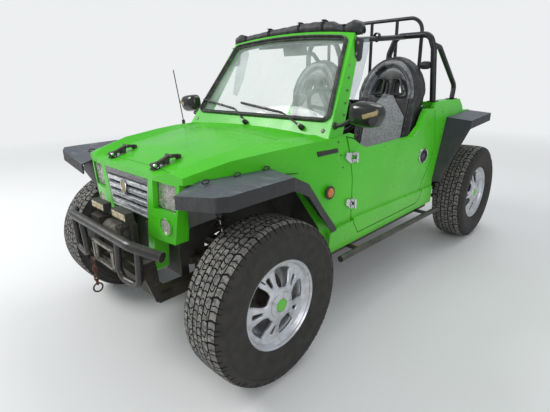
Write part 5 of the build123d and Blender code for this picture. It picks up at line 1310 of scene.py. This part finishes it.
class VEHICLE_OT_windshield_trim(bpy.types.Operator):
    """Adds the rubber seals, snaps, brackets, wind wings and wiper details"""

    bl_idname = "vehicle.windshield_trim"
    bl_label = "Windshield Trim"

    def execute(self, context):
        bm = bmesh.new()
        add_tube(bm, opening_line(-1, 1.5), 17, 10, closed=True, flat=0.35)
        add_tube(bm, opening_line(13, 0), 8, 8, closed=True, flat=0.7)
        add_tube(bm, opening_line(2, -39), 9, 8, closed=True, flat=0.5)
        finished(bm, "windshield_seal", "vehicle", ["aged_rubber"], 60)

        bm = bmesh.new()
        for s in (-1, 1):
            # Bracket that ties the pillar's top to the cage, with two screws
            outline = [(-836, 1471), (-908, 1462), (-895, 1366), (-880, 1352), (-840, 1350), (-828, 1362)]
            add_plate(bm, [at(x, s * 492, z) for x, z in outline], Vector((0, s * 5 * MM, 0)), 1.5, 0)
            for x, z in ((-852, 1443), (-838, 1388)):
                add_bolt(bm, at(x, s * 497, z), Vector((0, s, 0)), 9, 5, 1)
            # Snaps for side curtains down the pillar, and a screw at its foot
            for x, z in ((-766, 1332), (-748, 1271), (-722, 1210), (-693, 1149), (-668, 1092)):
                half = shield_half((z - FOOT.z) / LEAN.z) - 3
                snap = [(0, 4), (4, 3.6), (6.5, 2), (7, -1), (0, -1)]
                add_turned(bm, snap, at(x + 3, s * half, z), Vector((0, s, 0)), 14, 1)
            add_turned(bm, [(0, 6), (7, 5.5), (11, 3.5), (12, -1), (0, -1)], on_shield(s * 529, 40), OUT, 20, 1)
        finished(bm, "windshield_fittings", "vehicle", ["powder_coat", "zinc_plate"])

        bm = bmesh.new()
        wing = [(-873, 1462), (-968, 1470), (-976, 1432), (-915, 1262), (-846, 1150), (-812, 1168), (-856, 1340)]
        for s in (-1, 1):
            add_plate(bm, [at(x, s * 486, z) for x, z in wing], Vector((0, s * 4 * MM, 0)), 1, 0)
        finished(bm, "wind_wings", "vehicle", ["tinted_acrylic"])

        # Wipers by pivot and blade ends: hub, claws, rubber, spine, and screws on the claw and the hub
        bm = bmesh.new()
        hub = [(0, 33), (7, 32), (9, 29), (9, 24), (13, 20), (15, 12), (15, 0), (0, 0)]
        for pivot, near, far in (((-42, 43), (-181, 122), (-534, 174)), ((390, 46), (226, 117), (-150, 165))):
            add_turned(bm, hub, on_shield(*pivot), OUT, 24, 0)
            near, far = Vector(near), Vector(far)
            way, length = (far - near).normalized(), (far - near).length
            for share in (0.12, 0.37, 0.63, 0.88):
                add_box_on_shield(bm, near.lerp(far, share), 22, way, (16, 7, 5))
            add_box_on_shield(bm, near.lerp(far, 0.5), 12, way, (length, 5, 14))
            add_box_on_shield(bm, near.lerp(far, 0.5), 19, way, (length * 0.96, 10, 4))
            add_turned(bm, [(0, 5), (5, 4), (6, 0), (0, 0)], on_shield(*near.lerp(far, 0.37), 25), OUT, 16, 1)
            add_turned(bm, [(0, 37), (6, 36), (7, 33), (0, 33)], on_shield(*pivot), OUT, 16, 1)
        finished(bm, "wiper_details", "vehicle", ["moulded_black", "zinc_plate"])

        # Inner mirror: glass behind its shell, and the ball on its stalk
        bm = bmesh.new()
        glass = [(-936.5, -80, 1408), (-936.5, 80, 1408), (-924.5, 80, 1464), (-924.5, -80, 1464)]
        add_plate(bm, [at(*place) for place in glass], Vector((1.5 * MM, 0, 0)), 0.5, 0)
        add_turned(bm, [(0, 14), (8, 12), (13, 5), (14, 0), (11, -7), (0, -10)], at(-905, 0, 1450), OUT, 20, 1)
        finished(bm, "inner_mirror_glass", "vehicle", ["mirror_glass", "moulded_black"])
        return {"FINISHED"}


def add_box_on_shield(bm, place, out, way, size):
    """A small rounded block on the windshield, turned along a direction across it."""
    along = (Vector((0, 1, 0)) * way.x + LEAN * way.y).normalized()
    turn = Matrix((along, OUT.cross(along), OUT)).transposed().to_4x4()
    placed = Matrix.Translation(on_shield(*place, out)) @ turn @ Matrix.Diagonal((*(v * MM for v in size), 1))
    soften(bm, bmesh.ops.create_cube(bm, size=1, matrix=placed)["verts"], 1)


class VEHICLE_OT_mirrors(bpy.types.Operator):
    """Builds the two door mirrors: gloss shells, glass, light strip and arms"""

    bl_idname = "vehicle.mirrors"
    bl_label = "Door Mirrors"

    def execute(self, context):
        outline = [
            (654, 1082), (672, 1062), (778, 1051), (816, 1084), (824, 1126), (798, 1157), (694, 1167), (658, 1142),
        ]
        line = smooth_curve([Vector((y, z)) for y, z in outline + outline[:1]], 5)[:-1]
        middle_yz = sum(line, Vector((0, 0))) / len(line)
        # The shell from its open back to its crown: how far ahead each ring stands, and its share of the outline
        rings = (
            (-30, 1), (-27, 1.01), (-12, 1.0), (2, 0.985), (4, 0.965), (9, 0.965), (11, 0.975), (20, 0.93),
            (30, 0.82), (38, 0.64), (42, 0.4), (43, 0.15),
        )
        for side, s in SIDES.items():
            x = -572 if s > 0 else -622
            body = bmesh.new()
            edges = []
            for reach, share in rings:
                ring = [middle_yz + (p - middle_yz) * share for p in line]
                verts = [body.verts.new(at(x + reach, s * p.x, p.y)) for p in ring]
                edges.append([body.edges.new(pair) for pair in zip(verts, verts[1:] + verts[:1])])
            for first, second in zip(edges, edges[1:]):
                bmesh.ops.bridge_loops(body, edges=first + second)
            bmesh.ops.holes_fill(body, edges=edges[-1], sides=0)
            rim = bmesh.ops.extrude_edge_only(body, edges=edges[0])["geom"]
            rim_verts = [g for g in rim if isinstance(g, bmesh.types.BMVert)]
            centre = sum((v.co for v in rim_verts), Vector()) / len(rim_verts)
            for v in rim_verts:
                v.co = centre + (v.co - centre) * 0.93
            inner = bmesh.ops.extrude_edge_only(
                body, edges=[g for g in rim if isinstance(g, bmesh.types.BMEdge)]
            )["geom"]
            inner_verts = [g for g in inner if isinstance(g, bmesh.types.BMVert)]
            bmesh.ops.translate(body, verts=inner_verts, vec=(6 * MM, 0, 0))
            bmesh.ops.holes_fill(body, edges=[g for g in inner if isinstance(g, bmesh.types.BMEdge)], sides=0)
            shell = finished(body, f"mirror_shell_{side}", "vehicle", ["gloss_black"], 60, merge=0.01)
            smooth = shell.modifiers.new("moulded surface", "SUBSURF")
            smooth.levels = smooth.render_levels = 1
            bm = bmesh.new()
            face = [at(x - 26, s * y, z) for y, z in inset_outline(outline, 9)]
            add_plate(bm, face, Vector((1.5 * MM, 0, 0)), 0.4, 0)
            strip = [(747, 1112), (820, 1134), (822, 1114), (755, 1094)]
            reach = (43.5, 36, 37, 43.5)
            face = [at(x + ahead, s * y, z) for (y, z), ahead in zip(strip, reach)]
            add_plate(bm, face, Vector((3 * MM, 0, 0)), 0.8, 1)
            arm = [(-566, 574, 1047), (-566, 612, 1054), (x + 2, 640, 1070), (x + 4, 668, 1084)]
            add_tube(bm, smooth_curve([at(a, s * b, c) for a, b, c in arm], 5), 10, 12, material=2)
            foot = [(0, 12), (14, 11), (18, 8), (19, 0), (0, 0)]
            add_turned(bm, foot, at(-566, s * 571, 1047), Vector((0, s, 0.3)).normalized(), 24, 2)
            parts = finished(
                bm, f"mirror_parts_{side}", "vehicle", ["mirror_glass", "beige_lens", "moulded_black"]
            )
            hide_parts(f"mirror_{side}")
        return {"FINISHED"}


# Coil springs over dampers: how far ahead of each axle they stand, then their lower and upper eyes across and up
SHOCKS = {0: 0, REAR_AXLE: 74}
SHOCK_LOW = (WHEEL_Y - 110 - 95, 334)
SHOCK_TOP = (325, 729.7)


class VEHICLE_OT_springs(bpy.types.Operator):
    """Winds the coil springs round their dampers"""

    bl_idname = "vehicle.springs"
    bl_label = "Springs"

    def execute(self, context):
        bm = bmesh.new()
        for axle, ahead in SHOCKS.items():
            for s in (-1, 1):
                low, high = (at(axle + ahead, s * y, z) for y, z in (SHOCK_LOW, SHOCK_TOP))
                along = (high - low).normalized()
                length = (high - low).length / MM
                right = along.cross(Vector((1, 0, 0))).normalized()
                ahead_of = right.cross(along)
                # The coil closes up a little towards its ends
                turns, steps, coil, first, last = 6.5, 18, 30, 52, length - 56
                wire = []
                for k in range(int(turns * steps) + 1):
                    turn = math.tau * k / steps
                    share = k / (turns * steps)
                    rise = first + (last - first) * (share * share * (3 - 2 * share) * 0.35 + share * 0.65)
                    across = right * math.cos(turn) + ahead_of * math.sin(turn)
                    wire.append(low + (along * rise + across * coil) * MM)
                add_tube(bm, wire, 5.6, 8)
                for start, end, radius, material in (
                    (14, 48, 16, 1), (44, length * 0.58, 19, 1), (length * 0.5, length - 14, 7.5, 2),
                ):
                    add_rod(bm, low + along * start * MM, low + along * end * MM, radius, material=material)
                for start, height in ((42, 8), (length - 58, 12)):
                    seat = [(10, 0), (34, 0), (36, 3), (35, height), (10, height), (10, 0)]
                    add_turned(bm, seat, low + along * start * MM, along, 28, 1)
                for place in (low, high):
                    add_rod(bm, place - Vector((17, 0, 0)) * MM, place + Vector((17, 0, 0)) * MM, 15, material=1)
                    for t in (-1, 1):
                        add_bolt(bm, place + Vector((t * 18, 0, 0)) * MM, Vector((t, 0, 0)), 7, 5, 2, 6)
        springs = finished(bm, "spring_dampers", "vehicle", ["powder_coat", "cast_metal", "chrome_plate"])
        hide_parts("coilovers")
        return {"FINISHED"}


# Hardware of the doors and the body sides, whose skin stands this far out, in millimetres
SKIN = 600
# Where the hood seam's corner runs out through the body's side, behind and ahead of the side's crease
SIDE_CREASE = -505
CORNER_OUTLINES = (
    [(-593, 856), (-601, 872), (-505, 975), (-505, 913)],
    [(-505, 975), (-497, 984), (-467, 941), (-505, 913)],
)


def body_side(x):
    """How far out the front body's side stands at a place along it, in millimetres."""
    narrowing = 0.1361 if x > SIDE_CREASE else 0.0575
    return 587 - (x - SIDE_CREASE) * narrowing


class VEHICLE_OT_hardware(bpy.types.Operator):
    """Adds hinge screws, latches, catches, clips, the blank badge plates and other small fittings"""

    bl_idname = "vehicle.hardware"
    bl_label = "Body Hardware"

    def execute(self, context):
        for side, s in SIDES.items():
            out = Vector((0, s, 0))
            bm = bmesh.new()
            for z, ahead in ((877, -650), (624, -668)):
                for dx, dz in ((0, 16), (0, -14), (-16, 2)):
                    add_bolt(bm, at(ahead + dx, s * (SKIN + 10), z + dz), out, 5.2, 3, 0)
            finished(bm, f"hinge_screws_{side}", "vehicle", ["chrome_plate"])
            bm = bmesh.new()
            for z in (877, 624):
                for dx, dz in ((0, 14), (2, -16)):
                    add_bolt(bm, at(-722 + dx, s * (SKIN + 8), z + dz), out, 4.8, 3, 0)
            # Round latch: bright ring, dark dished well and paddle
            centre = at(-1530, s * (SKIN + 1), 757)
            made = add_turned(bm, [(36, 0), (37, 8), (40, 10), (43, 7), (44, 0)], centre, out, 40, 0)
            made += add_turned(bm, [(37, 8), (30, 5.5), (18, 4), (0, 4)], centre, out, 32, 1)
            verts = list({v for f in made for v in f.verts})
            bmesh.ops.scale(bm, verts=verts, vec=(1.45, 1, 1.15), space=Matrix.Translation(-centre))
            paddle = [(-1574, 750), (-1486, 750), (-1490, 778), (-1570, 778)]
            add_plate(bm, [at(x, s * (SKIN + 8), z) for x, z in paddle], Vector((0, s * 4 * MM, 0)), 1.5, 2)
            # Door edge catch near the top
            catch = [(-1404, 925), (-1514, 947), (-1516, 936), (-1408, 912)]
            add_plate(bm, [at(x, s * (SKIN - 12), z) for x, z in catch], Vector((0, s * 9 * MM, 0)), 2, 0)
            finished(bm, f"latch_{side}", f"{side}_door", ["chrome_plate", "moulded_black", "gloss_black"])

            # Thin skin in the body's paint over that corner
            bm = bmesh.new()
            for outline in CORNER_OUTLINES:
                face = [at(x, s * (body_side(x) + 0.5), z) for x, z in outline]
                add_plate(bm, face, Vector((0, -s * 2.2 * MM, 0)), 0.2)
            finished(bm, f"corner_skin_{side}", "vehicle", ["gelcoat_lime"])

            bm = bmesh.new()
            for x, z in ((-1778, 1028), (-1810, 964), (-1810, 908), (-1794, 856)):
                add_bolt(bm, at(x, s * (SKIN - 1), z), out, 5.5, 3.2, 0)
            for x, z in ((-574, 968), (-598, 899), (-617, 833)):
                add_bolt(bm, at(x, s * body_side(x), z), out, 5.5, 3, 0)
            # Blank badge plate across the side's crease, ahead of the door
            plate = [(-421, 939), (-566, 939), (-573, 917), (-430, 914)]
            face = [at(x, s * body_side(x), z) for x, z in plate]
            add_plate(bm, face, Vector((0, s * 4.2 * MM, 0)), 0.8)
            # Blank badge plate on the quarter's chamfer
            plate = [(-1862, 1052), (-2082, 1070), (-2106, 1036), (-1900, 1008)]
            face = [at(x, s * (581 - (z - 1030) * 0.28), z) for x, z in plate]
            lean = Vector((0, s, 0.3)).normalized()
            add_plate(bm, face, lean * 2.2 * MM, 0.8, 1)
            # Looped clips on the front flare's inner edge
            for x, y in ((195, 528), (38, 531), (-120, 540)):
                ring = [at(x + math.cos(a) * 17, s * y, 908 + math.sin(a) * 8) for a in angles(18)]
                add_tube(bm, ring, 3, 6, closed=True)
            finished(bm, f"body_fittings_{side}", "vehicle", ["moulded_black", "badge_plate"])
        return {"FINISHED"}


class VEHICLE_OT_cage_fittings(bpy.types.Operator):
    """Adds collars, foot bolts, the clamp and the harness pads of the roll cage"""

    bl_idname = "vehicle.cage_fittings"
    bl_label = "Cage Fittings"

    def execute(self, context):
        bm = bmesh.new()
        for s in (-1, 1):
            # Padded harness sleeves on the bar behind the seats, and bolts in the hoop's feet
            pad = [at(-1690, s * y, 1335) for y in range(452, 525, 12)]
            add_tube(bm, pad, [17, 24, 26, 26, 26, 24, 17], 20)
            for dx, dy in ((28, 0), (-28, 0), (0, 30), (0, -30)):
                add_bolt(bm, at(-1690 + dx, s * 524 + dy, 1074), Vector((0, 0, 1)), 6, 5, 1, 6)
            # Collar at the brace's foot, and the clamp with its knob on the roof bar
            collar = [(12.5, 0), (20, 0), (21, 4), (21, 20), (19, 24), (12.5, 24)]
            add_turned(bm, collar, at(-1786, s * 396, 1075), Vector((0, 0, 1)), 24, 2)
            clamp = [(16, 0), (20, 0), (21, 3), (21, 25), (20, 28), (16, 28)]
            add_turned(bm, clamp, at(-1326, s * 314, 1511.5), Vector((-1, 0, 0.03)), 20, 2)
            knob = [(0, 22), (6, 21), (9, 17), (8, 6), (13, 4), (14, 0), (0, 0)]
            add_turned(bm, knob, at(-1340, s * 314, 1497), Vector((0, 0, -1)), 18, 2)
        finished(bm, "cage_fittings", "vehicle", ["vinyl_cloth", "zinc_plate", "powder_coat"])
        return {"FINISHED"}


class VEHICLE_OT_cabin(bpy.types.Operator):
    """Adds gauges, vents, the steering wheel's pad, pedals and floor mats"""

    bl_idname = "vehicle.cabin"
    bl_label = "Cabin"

    def execute(self, context):
        bm = bmesh.new()
        towards = Vector((-1, 0, 0.25)).normalized()
        for y, z, r in ((316, 938, 44), (228, 938, 44), (140, 940, 26)):
            centre = at(-766, y, z)
            add_turned(bm, [(r, -6), (r + 4, 0), (r + 3, 6), (r - 1, 7), (r - 3, 2), (0, 1)], centre, towards, 32, 0)
            add_turned(bm, [(r - 4, 2.2), (r - 8, 2.6), (0, 2.6)], centre, towards, 28, 1)
            needle = centre + towards * 3.4 * MM
            add_rod(bm, needle, needle + Vector((0.1, -0.5, 0.6)).normalized() * (r - 10) * MM, 1.6, 0.6, 8, 2)
            for k in range(9):
                a = math.radians(-130 + k * 32.5)
                tick = Vector((0.25 * math.cos(a), math.sin(a), math.cos(a))).normalized()
                add_rod(bm, needle + tick * (r - 12) * MM, needle + tick * (r - 7) * MM, 1.1, sides=6, material=3)
        for y in (-120, -320):
            for k in range(5):
                add_box(bm, (-768, y - 60, 918 + k * 9), (-760, y + 60, 922 + k * 9), 1, 0)
        for k in range(3):
            add_box(bm, (-776, 30 + k * 34, 868), (-768, 54 + k * 34, 890), 2, 0)
        for s in (-1, 1):
            for k in range(12):
                add_box(bm, (-1050 + k * 24, s * 300 - 150, 403), (-1040 + k * 24, s * 300 + 150, 408), 1.5, 4)
        for y, z in ((352, 470), (282, 480), (212, 480)):
            add_rod(bm, at(-700, y, 640), at(-738, y, z + 20), 6, material=5)
            add_box(bm, (-750, y - 22, z - 24), (-742, y + 22, z + 24), 3, 4)
        finished(
            bm, "dash_fittings", "vehicle",
            ["moulded_black", "gloss_black", "amber_acrylic", "beige_lens", "rubber_seal", "powder_coat"],
        )
        bm = bmesh.new()
        hub = at(-930, 270, 1075)
        axis = (hub - at(-655, 270, 880)).normalized()
        add_turned(
            bm, [(0, 22), (26, 21), (44, 17), (52, 10), (53, 2), (46, -4), (0, -6)], hub + axis * 4 * MM, axis, 32, 0
        )
        add_turned(bm, [(0, 25), (12, 24.5), (15, 22), (15, 19), (0, 19)], hub + axis * 4 * MM, axis, 24, 1)
        finished(bm, "wheel_pad", "steering_hand_wheel", ["moulded_black", "gloss_black"], 50)
        return {"FINISHED"}


class VEHICLE_OT_tail(bpy.types.Operator):
    """Adds the ribs of the tail lamps and the fins of the engine"""

    bl_idname = "vehicle.tail"
    bl_label = "Tail and Engine Details"

    def execute(self, context):
        low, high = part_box("tail_lamps")
        bm = bmesh.new()
        inner = min(abs(v.co.y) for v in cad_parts["tail_lamps"].data.vertices) / MM
        outer, back = high.y / MM, low.x / MM - AXLE
        ribs, fins = 5, 9
        for s in (-1, 1):
            near, far = sorted((s * (inner + 3), s * (outer - 3)))
            for k in range(ribs):
                z = (low.z + (high.z - low.z) * (k + 0.5) / ribs) / MM
                add_box(bm, (back - 2, near, z - 2), (back + 2, far, z + 2), 0.8, 0)
        finished(bm, "tail_lamp_ribs", "vehicle", ["red_acrylic"])
        low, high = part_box("engine")
        bm = bmesh.new()
        x0, x1 = low.x / MM - AXLE, high.x / MM - AXLE
        near, far, top = low.y / MM + 15, high.y / MM - 15, high.z / MM
        for k in range(fins):
            x = x0 + (x1 - x0) * (k + 0.5) / fins
            add_box(bm, (x - 4, near, top - 1), (x + 4, far, top + 7), 1.5, 0)
        finished(bm, "engine_fins", "vehicle", ["cast_metal"])
        return {"FINISHED"}


# The camera that matches the photograph: its place in millimetres from the front axle, and its turns in radians
CAMERA = (1063.65, 1756.40, 1291.81)
YAW, PITCH, ROLL = -2.362816, 0.317133, -0.017928


def seen_directly(tree):
    """1 where the camera looks, also through glass, and 0 in reflections and in bounced light."""
    path = add(tree, "ShaderNodeLightPath").outputs
    rays = {0: path["Is Camera Ray"], 1: path["Is Transmission Ray"]}
    return add(tree, "ShaderNodeMath", rays, operation="MAXIMUM").outputs[0]


class VEHICLE_OT_stage(bpy.types.Operator):
    """Sets the floor, the lights, the world and the camera"""

    bl_idname = "vehicle.stage"
    bl_label = "Stage"

    def execute(self, context):
        settings = context.scene.vehicle_stage
        scene = context.scene
        bm = bmesh.new()
        bmesh.ops.create_grid(bm, x_segments=1, y_segments=1, size=40)
        mesh = bpy.data.meshes.new("floor_plane")
        bm.to_mesh(mesh)
        bm.free()
        pale = (*settings.floor, 1)
        worn = (*(c * 0.98 for c in settings.floor), 1)
        tree, shell = finish("studio_floor", pale, 0.85, tone=(900, 3.0, 0.3, 0.7, pale, worn))
        # Seen by the camera, the far floor fades into the backdrop, so no horizon shows
        place = add(tree, "ShaderNodeTexCoord").outputs["Object"]
        away = add(tree, "ShaderNodeVectorMath", {0: place}, operation="LENGTH").outputs["Value"]
        levels = {0: away, 1: 2.6, 2: 8.0, 3: 0.0, 4: 1.0}
        far = add(tree, "ShaderNodeMapRange", levels, clamp=True).outputs[0]
        share = add(tree, "ShaderNodeMath", {0: far, 1: seen_directly(tree)}, operation="MULTIPLY").outputs[0]
        glow = add(tree, "ShaderNodeEmission", {"Color": linear(BACKDROP), "Strength": 1.0})
        faded = add(tree, "ShaderNodeMixShader", {0: share, 1: shell.outputs[0], 2: glow.outputs[0]})
        tree.links.new(faded.outputs[0], next(n for n in tree.nodes if n.type == "OUTPUT_MATERIAL").inputs[0])
        mesh.materials.append(MATERIALS["studio_floor"])
        floor = bpy.data.objects.new("floor_plane", mesh)
        scene.collection.objects.link(floor)

        world = bpy.data.worlds.new("studio")
        scene.world = world
        world.use_nodes = True
        tree = world.node_tree
        tree.nodes.clear()
        sky = add(tree, "ShaderNodeBackground", {"Color": linear("#E9EEF4"), "Strength": 0.60})
        backdrop = add(tree, "ShaderNodeBackground", {"Color": linear(BACKDROP), "Strength": 1.0})
        mixed = add(tree, "ShaderNodeMixShader", {0: seen_directly(tree), 1: sky.outputs[0], 2: backdrop.outputs[0]})
        add(tree, "ShaderNodeOutputWorld", {"Surface": mixed.outputs[0]})

        target = Vector((0.2, 0, 0.7))
        for name, place, size, power in (
            ("key", (4.0, -4.2, 4.8), 3.0, settings.key),
            ("fill", (3.0, 5.5, 3.0), 4.0, settings.key * 0.30),
            ("top", (-2.5, 0.5, 5.5), 4.0, settings.key * 0.35),
        ):
            lamp = bpy.data.lights.new(name, "AREA")
            lamp.energy = power
            lamp.shape = "DISK"
            lamp.size = size
            holder = bpy.data.objects.new(name, lamp)
            holder.location = place
            holder.rotation_euler = (target - Vector(place)).to_track_quat("-Z", "Y").to_euler()
            scene.collection.objects.link(holder)

        forward = Vector((math.cos(PITCH) * math.cos(YAW), math.cos(PITCH) * math.sin(YAW), -math.sin(PITCH)))
        right = Vector((math.sin(YAW), -math.cos(YAW), 0))
        up = right.cross(forward)
        side = right * math.cos(ROLL) + up * math.sin(ROLL)
        top = up * math.cos(ROLL) - right * math.sin(ROLL)
        camera = bpy.data.cameras.new("camera")
        camera.lens = settings.lens
        camera.sensor_width = 36
        holder = bpy.data.objects.new("camera", camera)
        turn = Matrix((side, top, -forward)).transposed().to_4x4()
        holder.matrix_world = Matrix.Translation(at(*CAMERA)) @ turn
        scene.collection.objects.link(holder)
        scene.camera = holder
        scene.view_settings.view_transform = "Standard"
        return {"FINISHED"}


OPERATORS = (
    VEHICLE_OT_finishes, VEHICLE_OT_panels, VEHICLE_OT_tyres, VEHICLE_OT_wheels, VEHICLE_OT_seats,
    VEHICLE_OT_soft_top, VEHICLE_OT_lamps, VEHICLE_OT_nose, VEHICLE_OT_windshield_trim, VEHICLE_OT_mirrors,
    VEHICLE_OT_springs, VEHICLE_OT_hardware, VEHICLE_OT_cage_fittings, VEHICLE_OT_cabin, VEHICLE_OT_tail,
    VEHICLE_OT_stage,
)


class VEHICLE_PT_sidebar(bpy.types.Panel):
    """Lists the vehicle's pieces and settings"""

    bl_idname = "VEHICLE_PT_sidebar"
    bl_label = "Vehicle"
    bl_space_type = "VIEW_3D"
    bl_region_type = "UI"
    bl_category = "Vehicle"

    def draw(self, context):
        for group in (context.scene.vehicle_paint, context.scene.vehicle_tyres, context.scene.vehicle_soft,
                      context.scene.vehicle_stage):
            for key in group.__annotations__:
                self.layout.prop(group, key)
        for operator in OPERATORS:
            self.layout.operator(operator.bl_idname)


SETTINGS = {
    "vehicle_paint": PaintSettings, "vehicle_tyres": TyreSettings, "vehicle_soft": SoftSettings,
    "vehicle_stage": StageSettings,
}


def register():
    for cls in (*SETTINGS.values(), *OPERATORS, VEHICLE_PT_sidebar):
        bpy.utils.register_class(cls)
    for name, cls in SETTINGS.items():
        setattr(bpy.types.Scene, name, PointerProperty(type=cls))


def unregister():
    for name in SETTINGS:
        delattr(bpy.types.Scene, name)
    for cls in reversed((*SETTINGS.values(), *OPERATORS, VEHICLE_PT_sidebar)):
        bpy.utils.unregister_class(cls)


def main():
    register()
    for operator in OPERATORS:
        group, name = operator.bl_idname.split(".")
        getattr(getattr(bpy.ops, group), name)()


if __name__ == "__main__":
    main()
